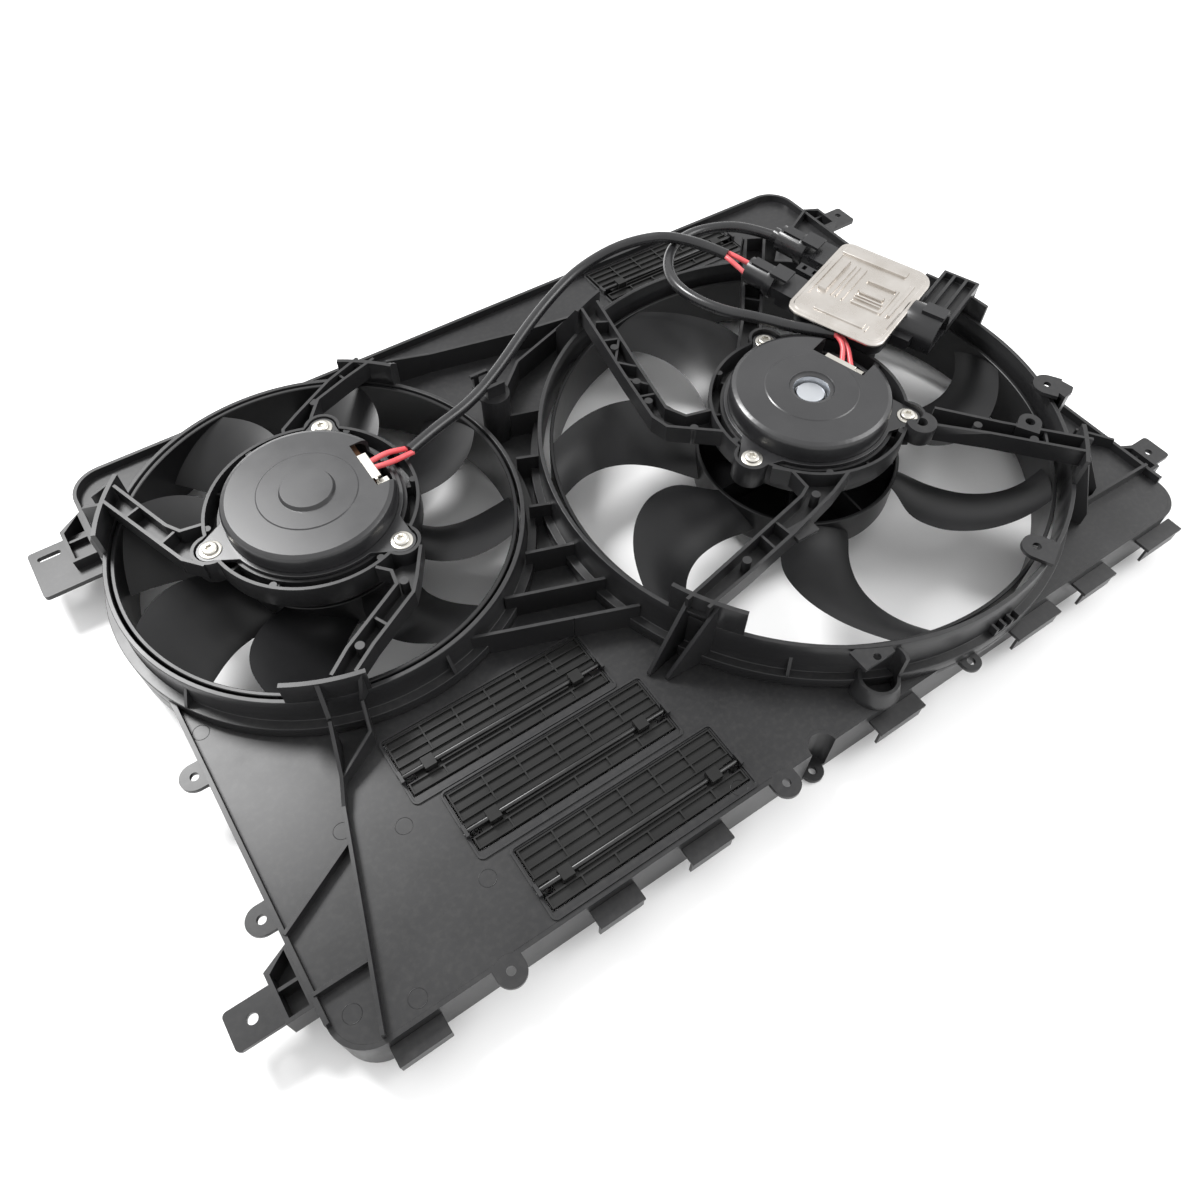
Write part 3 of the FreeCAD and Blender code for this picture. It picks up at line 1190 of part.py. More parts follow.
def motor_plug(u, sleeve):
    """A round two-way plug with its latch and rear cap, and a sleeve over a thick cable."""
    axis = BASE + 6
    along = Vector(0, 1, 0)
    rear = HALF_V + 48.5
    parts = [box(u - 10.5, u + 10.5, HALF_V + 7.5, HALF_V + 25, BASE + 2.3, BASE + 9.9),
             Part.makeCylinder(10, 25, Vector(u, rear - 25, axis), along),
             Part.makeCylinder(11.5, 6.5, Vector(u, rear - 25, axis), along),
             box(u - 7.3, u + 7.3, HALF_V + 13.5, HALF_V + 28, axis + 10.6, axis + 12.6),
             box(u - 4.5, u + 4.5, HALF_V + 27, rear - 3, axis + 8, axis + 10.8)]
    if sleeve:
        parts.append(Part.makeCylinder(sleeve, 6, Vector(u, rear, axis), along))
    below = box(-80, 80, 0, 140, 40, num("large_deck") + 0.3)
    return in_module(tipped(fused(parts)).cut(below))


# Each lead's route, with the cable and the pieces that it stops against
LEADS = {
    "small": [[(211, 316, 53.2), (195, 319.5, 55), (182, 318, 55)],
              [(211, 311.6, 53.2), (195, 309.5, 55), (182, 311.5, 55)],
              [(507.2, 343.5, 77.2), (511.2, 334.5, 76.3), (518.9, 323.8, 72)],
              [(503.2, 342, 77.2), (504, 331.5, 76.3), (507.6, 319.2, 72)]],
    "large": [[(519, 233, 72), (518.5, 219, 69.5), (508, 207.5, 64), (504.5, 206.5, 64)],
              [(522, 231.5, 71), (521.5, 217, 67.5), (512, 201, 62), (506.5, 199.5, 62)]],
}

for prefix, route in (("small", SMALL_CABLE), ("large", LARGE_CABLE)):
    cable = cord_solid(route, num("cable_radius"), prefix + " motor cable")
    sleeve = num("cable_radius") + 1.6 if prefix == "large" else 0
    plug = motor_plug(HEADERS[prefix], sleeve).cut(cable)
    leads = [cord_solid(lead, num("lead_radius"), prefix + " lead", False) for lead in LEADS[prefix]]
    for stop in (cable, nodes[prefix + "_motor_terminal"].Shape, plug):
        leads = [lead.cut(stop) for lead in leads]
    add_node(prefix + "_motor_plug", plug)
    add_node(prefix + "_motor_cable", cable)
    add_node(prefix + "_motor_leads", Part.makeCompound(leads))


# The assembly stands centred on its footprint, with its lowest point at height zero

doc.recompute()
reach = FreeCAD.BoundBox()
for node in nodes.values():
    reach.add(node.Shape.BoundBox)
shift = Vector(-(reach.XMin + reach.XMax) / 2, -(reach.YMin + reach.YMax) / 2, -reach.ZMin)
for node in nodes.values():
    node.Placement = Placement(node.Placement.Base + shift, node.Placement.Rotation)
doc.recompute()
print("size", round(reach.XLength, 1), round(reach.YLength, 1), round(reach.ZLength, 1))
print("shift", [round(v, 2) for v in shift])

for thing in doc.Objects:
    for state in ("Invalid", "Error"):
        assert state not in thing.State, thing.Label + " failed to rebuild"

os.makedirs("parts", exist_ok=True)
for label, node in nodes.items():
    shape = node.Shape
    assert not shape.isNull() and shape.isValid(), label + " is not a valid shape"
    print(label, "solids", len(shape.Solids), "volume", round(shape.Volume))
    shape.exportStep(f"parts/{label}.step")
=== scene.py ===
import json
import math

import bmesh
import bpy
from bpy.props import FloatProperty, FloatVectorProperty, IntProperty, PointerProperty
from mathutils import Matrix, Vector


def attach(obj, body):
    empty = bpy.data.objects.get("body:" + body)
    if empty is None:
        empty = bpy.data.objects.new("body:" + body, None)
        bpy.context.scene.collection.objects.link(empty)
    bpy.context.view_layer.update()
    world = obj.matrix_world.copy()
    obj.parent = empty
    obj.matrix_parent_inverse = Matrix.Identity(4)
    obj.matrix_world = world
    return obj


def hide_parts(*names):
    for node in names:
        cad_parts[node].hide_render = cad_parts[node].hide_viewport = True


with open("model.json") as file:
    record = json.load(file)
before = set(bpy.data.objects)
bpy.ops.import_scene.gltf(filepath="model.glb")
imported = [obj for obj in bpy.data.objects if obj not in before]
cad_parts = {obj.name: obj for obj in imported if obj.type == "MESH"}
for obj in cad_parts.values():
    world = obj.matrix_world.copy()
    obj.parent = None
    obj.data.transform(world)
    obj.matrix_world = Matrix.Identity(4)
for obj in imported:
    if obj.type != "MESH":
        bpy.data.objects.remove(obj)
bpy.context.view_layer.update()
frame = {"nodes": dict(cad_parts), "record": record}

bl_info = {
    "name": "Radiator fan assembly looks",
    "version": (1, 0, 0),
    "blender": (4, 5, 0),
    "location": "View3D > Sidebar > Fan assembly",
    "description": "Finishes and detail pieces for a twin radiator fan assembly",
    "category": "Object",
}

ROOT = "shroud"
# From the plate's near left corner to the frame's origin, in metres
PLATE_SHIFT = Vector((-0.34125, -0.2284, 0.038))
MM = 0.001
# Axis of each motor and its fan in millimetres from the plate's corner
AXES = {"small": (134.7, 311.0), "large": (465.9, 195.0)}


def plate_point(x, y, z):
    """A place given in millimetres from the plate's near left corner."""
    return Vector((x, y, z)) * MM + PLATE_SHIFT


# Sizes and colours that a user would change


class FanLooks(bpy.types.PropertyGroup):
    edge_round: FloatProperty(
        name="Edge rounding", description="Radius of the moulded edges",
        default=0.00045, min=0.0, max=0.002, unit="LENGTH", precision=5)
    cable_diameter: FloatProperty(
        name="Cable diameter", description="Outside diameter of the motor cables",
        default=0.0084, min=0.004, max=0.012, unit="LENGTH", precision=4)
    screw_head: FloatProperty(
        name="Screw head radius", description="Radius of the pan head above its washer",
        default=0.0052, min=0.003, max=0.007, unit="LENGTH", precision=4)
    socket_radius: FloatProperty(
        name="Socket radius", description="Outer radius of the six-lobed socket",
        default=0.0027, min=0.001, max=0.004, unit="LENGTH", precision=4)
    mark_radius: FloatProperty(
        name="Ejector mark radius", description="Radius of the round marks on the plate",
        default=0.0052, min=0.002, max=0.01, unit="LENGTH", precision=4)
    shroud_colour: FloatVectorProperty(
        name="Shroud colour", description="Moulded plastic of the tray, ducts and carriers",
        subtype="COLOR", default=(0.011, 0.011, 0.0118), min=0.0, max=1.0)
    fan_colour: FloatVectorProperty(
        name="Fan colour", description="Moulded plastic of the fans",
        subtype="COLOR", default=(0.005, 0.005, 0.0055), min=0.0, max=1.0)
    flap_colour: FloatVectorProperty(
        name="Flap colour", description="Moulded plastic of the air doors",
        subtype="COLOR", default=(0.009, 0.009, 0.0088), min=0.0, max=1.0)
    motor_colour: FloatVectorProperty(
        name="Motor colour", description="Baked paint of the motor cans",
        subtype="COLOR", default=(0.013, 0.013, 0.0142), min=0.0, max=1.0)
    lid_colour: FloatVectorProperty(
        name="Lid colour", description="Pressed aluminium of the module's lid",
        subtype="COLOR", default=(0.54, 0.505, 0.465), min=0.0, max=1.0)
    screw_colour: FloatVectorProperty(
        name="Screw colour", description="Zinc plating of the motor screws",
        subtype="COLOR", default=(0.6, 0.58, 0.53), min=0.0, max=1.0)
    wire_colour: FloatVectorProperty(
        name="Wire colour", description="Insulation of the motor leads",
        subtype="COLOR", default=(0.62, 0.05, 0.06), min=0.0, max=1.0)
    mark_count: IntProperty(
        name="Ejector marks", description="How many round marks the plate shows",
        default=9, min=1, max=9)


# Shared effects as node groups


def new_group(name, inputs, outputs):
    group = bpy.data.node_groups.new(name, "ShaderNodeTree")
    for label, kind, default in inputs:
        socket = group.interface.new_socket(label, in_out="INPUT", socket_type=kind)
        socket.default_value = default
    for label, kind in outputs:
        group.interface.new_socket(label, in_out="OUTPUT", socket_type=kind)
    entry = group.nodes.new("NodeGroupInput")
    leave = group.nodes.new("NodeGroupOutput")
    return group, entry, leave


def math_node(tree, operation, first, second):
    node = tree.nodes.new("ShaderNodeMath")
    node.operation = operation
    for socket, value in zip(node.inputs, (first, second)):
        if isinstance(value, bpy.types.NodeSocket):
            tree.links.new(value, socket)
        else:
            socket.default_value = value
    return node.outputs[0]


def grain_group():
    """The fine spark-eroded grain of a mould, with a slower unevenness under it."""
    group, entry, leave = new_group(
        "Mould grain",
        [("Scale", "NodeSocketFloat", 1800.0), ("Waviness", "NodeSocketFloat", 0.4)],
        [("Height", "NodeSocketFloat")])
    place = group.nodes.new("ShaderNodeTexCoord")
    fine = group.nodes.new("ShaderNodeTexNoise")
    fine.inputs["Detail"].default_value = 2.0
    slow = group.nodes.new("ShaderNodeTexNoise")
    slow.inputs["Scale"].default_value = 55.0
    slow.inputs["Detail"].default_value = 3.0
    group.links.new(place.outputs["Object"], fine.inputs["Vector"])
    group.links.new(place.outputs["Object"], slow.inputs["Vector"])
    group.links.new(entry.outputs["Scale"], fine.inputs["Scale"])
    swell = math_node(group, "MULTIPLY", slow.outputs["Fac"], entry.outputs["Waviness"])
    total = math_node(group, "ADD", fine.outputs["Fac"], swell)
    group.links.new(total, leave.inputs["Height"])
    return group


def drift_group():
    """Two close tones that drift into each other, with a roughness that goes with them."""
    group, entry, leave = new_group(
        "Tone drift",
        [("Base", "NodeSocketColor", (0.02, 0.02, 0.02, 1.0)),
         ("Pale", "NodeSocketColor", (0.04, 0.04, 0.04, 1.0)),
         ("Scale", "NodeSocketFloat", 14.0),
         ("Smoothest", "NodeSocketFloat", 0.35), ("Roughest", "NodeSocketFloat", 0.5)],
        [("Color", "NodeSocketColor"), ("Roughness", "NodeSocketFloat")])
    place = group.nodes.new("ShaderNodeTexCoord")
    noise = group.nodes.new("ShaderNodeTexNoise")
    noise.inputs["Detail"].default_value = 5.0
    noise.inputs["Roughness"].default_value = 0.6
    blend = group.nodes.new("ShaderNodeMix")
    blend.data_type = "RGBA"
    spread = group.nodes.new("ShaderNodeMapRange")
    spread.inputs["From Min"].default_value = 0.3
    spread.inputs["From Max"].default_value = 0.7
    group.links.new(place.outputs["Object"], noise.inputs["Vector"])
    group.links.new(entry.outputs["Scale"], noise.inputs["Scale"])
    group.links.new(noise.outputs["Fac"], spread.inputs["Value"])
    group.links.new(spread.outputs["Result"], blend.inputs["Factor"])
    group.links.new(entry.outputs["Base"], blend.inputs["A"])
    group.links.new(entry.outputs["Pale"], blend.inputs["B"])
    group.links.new(blend.outputs["Result"], leave.inputs["Color"])
    gap = math_node(group, "SUBTRACT", entry.outputs["Roughest"], entry.outputs["Smoothest"])
    part = math_node(group, "MULTIPLY", gap, spread.outputs["Result"])
    group.links.new(math_node(group, "ADD", part, entry.outputs["Smoothest"]), leave.inputs["Roughness"])
    return group


def brush_group():
    """Fine parallel scratches, as on rolled or brushed metal."""
    group, entry, leave = new_group(
        "Rolled metal",
        [("Scale", "NodeSocketFloat", 600.0), ("Stretch", "NodeSocketFloat", 0.05),
         ("Angle", "NodeSocketFloat", 0.0)],
        [("Height", "NodeSocketFloat")])
    place = group.nodes.new("ShaderNodeTexCoord")
    turn = group.nodes.new("ShaderNodeVectorRotate")
    turn.rotation_type = "Z_AXIS"
    squeeze = group.nodes.new("ShaderNodeVectorMath")
    squeeze.operation = "MULTIPLY"
    across = group.nodes.new("ShaderNodeCombineXYZ")
    across.inputs["Y"].default_value = 1.0
    across.inputs["Z"].default_value = 1.0
    noise = group.nodes.new("ShaderNodeTexNoise")
    noise.inputs["Detail"].default_value = 3.0
    group.links.new(place.outputs["Object"], turn.inputs["Vector"])
    group.links.new(entry.outputs["Angle"], turn.inputs["Angle"])
    group.links.new(entry.outputs["Stretch"], across.inputs["X"])
    group.links.new(turn.outputs["Vector"], squeeze.inputs[0])
    group.links.new(across.outputs["Vector"], squeeze.inputs[1])
    group.links.new(squeeze.outputs["Vector"], noise.inputs["Vector"])
    group.links.new(entry.outputs["Scale"], noise.inputs["Scale"])
    group.links.new(noise.outputs["Fac"], leave.inputs["Height"])
    return group


def dust_group():
    """A thin film of dust that settles on faces that look up."""
    group, entry, leave = new_group(
        "Settled dust",
        [("Amount", "NodeSocketFloat", 0.1), ("Scale", "NodeSocketFloat", 260.0)],
        [("Mask", "NodeSocketFloat")])
    place = group.nodes.new("ShaderNodeTexCoord")
    split = group.nodes.new("ShaderNodeSeparateXYZ")
    noise = group.nodes.new("ShaderNodeTexNoise")
    noise.inputs["Detail"].default_value = 4.0
    up = group.nodes.new("ShaderNodeMapRange")
    up.inputs["From Min"].default_value = 0.6
    up.inputs["From Max"].default_value = 1.0
    speck = group.nodes.new("ShaderNodeMapRange")
    speck.inputs["From Min"].default_value = 0.45
    speck.inputs["From Max"].default_value = 0.75
    group.links.new(place.outputs["Normal"], split.inputs["Vector"])
    group.links.new(split.outputs["Z"], up.inputs["Value"])
    group.links.new(place.outputs["Object"], noise.inputs["Vector"])
    group.links.new(entry.outputs["Scale"], noise.inputs["Scale"])
    group.links.new(noise.outputs["Fac"], speck.inputs["Value"])
    both = math_node(group, "MULTIPLY", up.outputs["Result"], speck.outputs["Result"])
    group.links.new(math_node(group, "MULTIPLY", both, entry.outputs["Amount"]), leave.inputs["Mask"])
    return group


GROUP_MAKERS = {"Mould grain": grain_group, "Tone drift": drift_group,
                "Rolled metal": brush_group, "Settled dust": dust_group}


def use_group(tree, name, **values):
    node = tree.nodes.new("ShaderNodeGroup")
    node.node_tree = bpy.data.node_groups.get(name) or GROUP_MAKERS[name]()
    for label, value in values.items():
        node.inputs[label].default_value = value
    return node


DUST_COLOUR = (0.4, 0.38, 0.35)
COAT_ROUGHNESS = 0.2
RELIEF_STRENGTH = 0.6


def rgba(colour):
    return (*colour, 1.0)


def pale_of(colour, share):
    """The colour with a share of white mixed in."""
    return tuple(c + (1.0 - c) * share for c in colour)


def finish(name, colour, pale=0.02, drift=14.0, rough=(0.36, 0.48), metallic=0.0, grain=1800.0,
           depth=0.00002, dust=0.0, rolled=None, coat=0.0, specular=0.5):
    """A procedural material: drifting tone, surface relief and, where asked, dust."""
    material = bpy.data.materials.new(name)
    material.use_nodes = True
    tree = material.node_tree
    shader = tree.nodes["Principled BSDF"]
    tone = use_group(tree, "Tone drift", Base=rgba(colour), Pale=rgba(pale_of(colour, pale)),
                     Scale=drift, Smoothest=rough[0], Roughest=rough[1])
    paint = tone.outputs["Color"]
    if dust:
        film = use_group(tree, "Settled dust", Amount=dust)
        cover = tree.nodes.new("ShaderNodeMix")
        cover.data_type = "RGBA"
        cover.inputs["B"].default_value = rgba(DUST_COLOUR)
        tree.links.new(film.outputs["Mask"], cover.inputs["Factor"])
        tree.links.new(paint, cover.inputs["A"])
        paint = cover.outputs["Result"]
    tree.links.new(paint, shader.inputs["Base Color"])
    tree.links.new(tone.outputs["Roughness"], shader.inputs["Roughness"])
    shader.inputs["Metallic"].default_value = metallic
    shader.inputs["Specular IOR Level"].default_value = specular
    shader.inputs["Coat Weight"].default_value = coat
    shader.inputs["Coat Roughness"].default_value = COAT_ROUGHNESS
    if rolled:
        relief = use_group(tree, "Rolled metal", Scale=rolled[0], Stretch=rolled[1], Angle=rolled[2])
    else:
        relief = use_group(tree, "Mould grain", Scale=grain)
    bump = tree.nodes.new("ShaderNodeBump")
    bump.inputs["Strength"].default_value = RELIEF_STRENGTH
    bump.inputs["Distance"].default_value = depth
    tree.links.new(relief.outputs["Height"], bump.inputs["Height"])
    tree.links.new(bump.outputs["Normal"], shader.inputs["Normal"])
    return material


# The finish of each material slot of the record


def slot_finishes(looks):
    return {
        "shroud_plastic": finish("Shroud plastic", looks.shroud_colour, 0.008, 9.0, (0.3, 0.42), dust=0.02,
                                 specular=0.4),
        "fan_plastic": finish("Fan plastic", looks.fan_colour, 0.005, 12.0, (0.3, 0.4), depth=0.00001,
                              specular=0.3),
        "flap_plastic": finish("Flap plastic", looks.flap_colour, 0.005, 20.0, (0.28, 0.38), specular=0.26),
        "plug_plastic": finish("Plug plastic", (0.010, 0.010, 0.011), 0.006, 30.0, (0.24, 0.34)),
        "motor_paint": finish("Motor paint", looks.motor_colour, 0.008, 25.0, (0.3, 0.38), grain=1300.0,
                              depth=0.00002, coat=0.25),
        "zinc_steel": finish("Zinc plate", looks.screw_colour, 0.1, 90.0, (0.28, 0.42), 1.0, depth=0.00001),
        "bearing_steel": finish("Ground steel", (0.5, 0.52, 0.55), 0.1, 60.0, (0.3, 0.42), 1.0,
                                depth=0.000006),
        "rod_steel": finish("Blackened rod", (0.05, 0.05, 0.05), 0.02, 60.0, (0.3, 0.42), 1.0,
                            rolled=(700.0, 0.04, 0.0), depth=0.000008),
        "ferrite": finish("Ferrite", (0.06, 0.06, 0.065), 0.03, 80.0, (0.5, 0.65), depth=0.00002),
        "lamination_steel": finish("Laminations", (0.3, 0.3, 0.32), 0.05, 120.0, (0.35, 0.5), 1.0,
                                   depth=0.00001),
        "copper_wire": finish("Enamelled copper", (0.72, 0.3, 0.14), 0.05, 150.0, (0.25, 0.4), 1.0,
                              rolled=(900.0, 0.1, 0.8), depth=0.00006),
        "insulator": finish("Insulating card", (0.2, 0.1, 0.05), 0.05, 60.0, (0.5, 0.6), depth=0.00002),
        "cable_sheath": finish("Cable sheath", (0.010, 0.010, 0.011), 0.006, 60.0, (0.22, 0.32), grain=2500.0,
                               depth=0.000015),
        "wire_red": finish("Red insulation", looks.wire_colour, 0.1, 60.0, (0.25, 0.36), depth=0.00001),
        "lid_aluminium": finish("Pressed aluminium", looks.lid_colour, 0.16, 45.0, (0.22, 0.36), 1.0,
                                rolled=(520.0, 0.06, 0.35), depth=0.000014),
        "board": finish("Circuit board", (0.02, 0.14, 0.06), 0.05, 60.0, (0.3, 0.45), depth=0.00001),
        "contact_brass": finish("Tinned contact", (0.8, 0.72, 0.5), 0.1, 60.0, (0.25, 0.35), 1.0,
                                depth=0.000006),
    }


def material_of(slot):
    names = {"cable_sheath": "Cable sheath", "zinc_steel": "Zinc plate", "shroud_plastic": "Shroud plastic",
             "fan_plastic": "Fan plastic", "lid_aluminium": "Pressed aluminium",
             "motor_paint": "Motor paint", "bearing_steel": "Ground steel"}
    return bpy.data.materials[names[slot]]


class FAN_OT_finishes(bpy.types.Operator):
    """Give every node of the frame the finish of its material slot"""
    bl_idname = "fan.finishes"
    bl_label = "Finishes"

    def execute(self, context):
        made = slot_finishes(context.scene.fan_looks)
        for row in frame["record"]["subparts"]:
            node = frame["nodes"][row["node"]]
            material = made[row["material_slot"]]
            if not node.material_slots:
                node.data.materials.append(material)
            for holder in node.material_slots:
                holder.material = material
        return {"FINISHED"}


# Words in the names of nodes whose edges stay as they are: hidden and replaced pieces
PLAIN_NODES = ("magnets", "stack", "windings", "commutator", "brush", "bearing", "shaft", "board",
               "pins", "screws", "cable", "leads", "end_bell", "nut", "module_lid")
REPLACED_FANS = ("small_fan", "large_fan")
WELD_REACH = 0.00002
SHARP_ANGLE = math.radians(40)
ROUNDING_STEPS = 2


def keeps_edges(name):
    """Whether a node goes without rounding. The cable tower is a moulded post, not a cable."""
    if name == "cable_tower":
        return False
    return name in REPLACED_FANS or any(word in name for word in PLAIN_NODES)


class FAN_OT_round_edges(bpy.types.Operator):
    """Round the moulded edges so that they catch the light"""
    bl_idname = "fan.round_edges"
    bl_label = "Rounded edges"

    def execute(self, context):
        for name, node in frame["nodes"].items():
            if keeps_edges(name):
                continue
            weld = node.modifiers.new("Weld", "WELD")
            weld.merge_threshold = WELD_REACH
            bevel = node.modifiers.new("Rounding", "BEVEL")
            bevel.width = context.scene.fan_looks.edge_round
            bevel.segments = ROUNDING_STEPS
            bevel.limit_method = "ANGLE"
            bevel.angle_limit = SHARP_ANGLE
            bevel.use_clamp_overlap = True
            bevel.harden_normals = True
        return {"FINISHED"}


# Motor cables, each one smooth line from its motor to its plug

# Steps between two points of a cable, and round its section
STEPS_ALONG = 14
STEPS_ROUND = 6
# Route of each cable in millimetres from the plate's corner, and its length in metres
CABLES = {
    "small_motor_cable": (
        [(209, 313.8, 53.2), (229.9, 323.2, 51.4), (268.8, 334.5, 50.2), (304.4, 353.6, 51.3),
         (338.4, 374.7, 54.7), (375.9, 393.8, 59.2), (412.1, 405.3, 65.4), (452.7, 400.6, 74.8),
         (486.5, 376.5, 82), (505.4, 340.8, 77)], 0.3471),
    "large_motor_cable": (
        [(519.6, 231, 70.3), (499.9, 250.6, 70.6), (481.7, 272.8, 73.1), (461.7, 292.7, 74.7),
         (452, 321.1, 74), (454, 347.3, 73.5), (472.4, 373.2, 71.4), (497.4, 385.8, 71),
         (525.3, 382.6, 70.8), (548.5, 366.5, 71.4), (559.5, 339, 72.3)], 0.2831),
}


class FAN_OT_cables(bpy.types.Operator):
    """Lay the two motor cables along their routes"""
    bl_idname = "fan.cables"
    bl_label = "Motor cables"

    def execute(self, context):
        diameter = context.scene.fan_looks.cable_diameter
        for node, (route, length) in CABLES.items():
            line = bpy.data.curves.new(node + "_line", "CURVE")
            line.dimensions = "3D"
            spline = line.splines.new("NURBS")
            points = [plate_point(*p) for p in route]
            spline.points.add(len(points) - 1)
            for spot, point in zip(spline.points, points):
                spot.co = (*point, 1.0)
            spline.order_u = 3
            spline.use_endpoint_u = True
            spline.resolution_u = STEPS_ALONG
            line.bevel_depth = diameter / 2
            line.bevel_resolution = STEPS_ROUND
            line.use_fill_caps = True
            cable = bpy.data.objects.new(node + "_sheath", line)
            context.scene.collection.objects.link(cable)
            line.materials.append(material_of("cable_sheath"))
            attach(cable, ROOT)
            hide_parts(node)
        return {"FINISHED"}


# Closed forms made from sections

SAME_PLACE = 1e-7


def new_piece(name, form):
    """Puts a bmesh into the scene as an object, with its normals outward."""
    bmesh.ops.remove_doubles(form, verts=form.verts, dist=SAME_PLACE)
    bmesh.ops.recalc_face_normals(form, faces=form.faces)
    data = bpy.data.meshes.new(name)
    form.to_mesh(data)
    form.free()
    piece = bpy.data.objects.new(name, data)
    bpy.context.scene.collection.objects.link(piece)
    return piece


def skin(form, sections):
    """Closes a run of sections, each a loop of as many places, into one solid."""
    loops = [[form.verts.new(place) for place in section] for section in sections]
    for low, high in zip(loops, loops[1:]):
        for i in range(len(low)):
            j = (i + 1) % len(low)
            form.faces.new((low[i], low[j], high[j], high[i]))
    form.faces.new(loops[0][::-1])
    form.faces.new(loops[-1])


def lathe(form, centre, profile, steps):
    """Turns a closed outline of radius and height, in millimetres, about an upright axis."""
    turns = []
    for k in range(steps):
        angle = math.tau * k / steps
        turns.append([form.verts.new(plate_point(centre[0] + r * math.cos(angle),
                                                 centre[1] + r * math.sin(angle), z))
                      for r, z in profile])
    for k in range(steps):
        near, far = turns[k], turns[(k + 1) % steps]
        for i in range(len(profile)):
            j = (i + 1) % len(profile)
            form.faces.new((near[i], near[j], far[j], far[i]))


def dress(piece, slot, body, node=None, smooth=35):
    """Gives a finished piece its shading, material and body, and hides the node that it stands for."""
    bpy.ops.object.select_all(action="DESELECT")
    piece.select_set(True)
    bpy.context.view_layer.objects.active = piece
    bpy.ops.object.shade_smooth_by_angle(angle=math.radians(smooth))
    piece.data.materials.append(material_of(slot))
    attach(piece, body)
    if node:
        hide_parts(node)


# Fans with smooth blades between their hub cup and ring

# For each fan: axis, hub and tip radius, underside and top of the ring, brim of the hub
FANS = {"small": (AXES["small"], 62, 132.3, -13, 30.8, 16),
        "large": (AXES["large"], 76, 182.4, -16, 24.5, 14)}
BLADE_ANGLES = {"small": [11.4, 56, 101.3, 145.6, 190.7, 235.6, 283.1, 325.7],
                "large": [339.1, 31, 84.5, 137.7, 184.2, 237, 295.9]}
# Each station from hub to tip: the leading edge's way round and height, then the trailing edge's
BLADE_EDGES = {
    "small": [(29.4, -7, -15.9, 15.2), (24.8, -4.8, -23, 18.4), (25.6, -2.5, -27.2, 21.5),
              (30.3, -0.2, -27.3, 24.4), (37.6, 2.1, -21.7, 27), (46, 4.4, -9.4, 29.2)],
    "large": [(30.9, -2.6, -3.9, 13.2), (26.8, -0.2, -22.3, 15.4), (27.1, 2.2, -27.3, 17.4),
              (34.2, 4.6, -19.2, 19.4), (50.3, 7, 1.4, 21.2), (77.9, 9.4, 34.2, 22.8)],
}
RING_WALL = 2.8
CUP_WALL = 2.6
SHAFT_RADIUS = 4.0
HUB_RIBS = 8
RIB_HALF_WALL = 0.9
# How far each blade runs into the hub's wall and into the ring
ROOT_OVERLAP = 1.3
TIP_OVERLAP = 1.4
# Camber of a blade, half its thickness at the edges and what the middle adds to that half
CAMBER = 2.6
EDGE_HALF = 0.45
MIDDLE_HALF = 0.75
# How finely the blades, the hub and the ring are drawn
BLADE_ROWS = 28
CHORD_STEPS = 10
HUB_STEPS = 128
RING_STEPS = 192


def between(values, place):
    """A value on a smooth line through evenly spaced stations."""
    i = min(max(int(place), 0), len(values) - 2)
    t = place - i
    b, c = values[i], values[i + 1]
    a = values[i - 1] if i else 2 * b - c
    d = values[i + 2] if i + 2 < len(values) else 2 * c - b
    return b + 0.5 * t * (c - a + t * (2 * a - 5 * b + 4 * c - d + t * (3 * (b - c) + d - a)))


def blade_outline(radius, lead, trail, centre, turn):
    """A thin cambered section at one radius, from edge to edge and back."""
    lead_angle, lead_z = lead
    trail_angle, trail_z = trail
    along = Vector(((trail_angle - lead_angle) * radius, trail_z - lead_z))
    up = Vector((-along.y, along.x)).normalized()
    if up.y < 0:
        up = -up
    places = []
    for side, order in ((1, range(CHORD_STEPS + 1)), (-1, range(CHORD_STEPS - 1, 0, -1))):
        for k in order:
            share = k / CHORD_STEPS
            crown = 4 * share * (1 - share)
            lift = CAMBER * crown + side * (EDGE_HALF + MIDDLE_HALF * crown)
            arc = along.x * share + up.x * lift
            angle = turn + lead_angle + arc / radius
            height = lead_z + along.y * share + up.y * lift
            places.append(plate_point(centre[0] + radius * math.cos(angle),
                                      centre[1] + radius * math.sin(angle), height))
    return places


def hub_outline(hub, low, brim):
    """The cup of the hub, open at the motor's side, with the boss round the shaft."""
    inner = hub - CUP_WALL
    return [(SHAFT_RADIUS, low), (hub - 3.5, low), (hub - 1.6, low + 0.5), (hub - 0.5, low + 1.6),
            (hub, low + 3.5), (hub, brim - 0.5), (hub - 0.5, brim), (inner + 0.5, brim),
            (inner, brim - 0.5), (inner, low + 4.5), (hub - 4.5, low + 3), (12, low + 3),
            (11, brim + 6), (SHAFT_RADIUS, brim + 6)]


def ring_outline(tip, low, top):
    """The ring that joins the tips, with broken edges."""
    outer = tip + RING_WALL
    return [(tip + 0.5, low), (outer - 0.5, low), (outer, low + 0.5), (outer, top - 0.5),
            (outer - 0.5, top), (tip + 0.5, top), (tip, top - 0.5), (tip, low + 0.5)]


def hub_rib(centre, hub, low, brim, angle):
    """The two end sections of one rib between the boss and the wall of the hub."""
    out = Vector((math.cos(angle), math.sin(angle), 0))
    side = Vector((-out.y, out.x, 0)) * RIB_HALF_WALL
    sections = []
    for radius, height in ((10, brim), (hub - 1.5, brim - 4)):
        spot = Vector((*centre, 0)) + out * radius
        corners = [spot - side, spot + side, spot + side, spot - side]
        levels = (low + 2, low + 2, height, height)
        sections.append([plate_point(c.x, c.y, z) for c, z in zip(corners, levels)])
    return sections


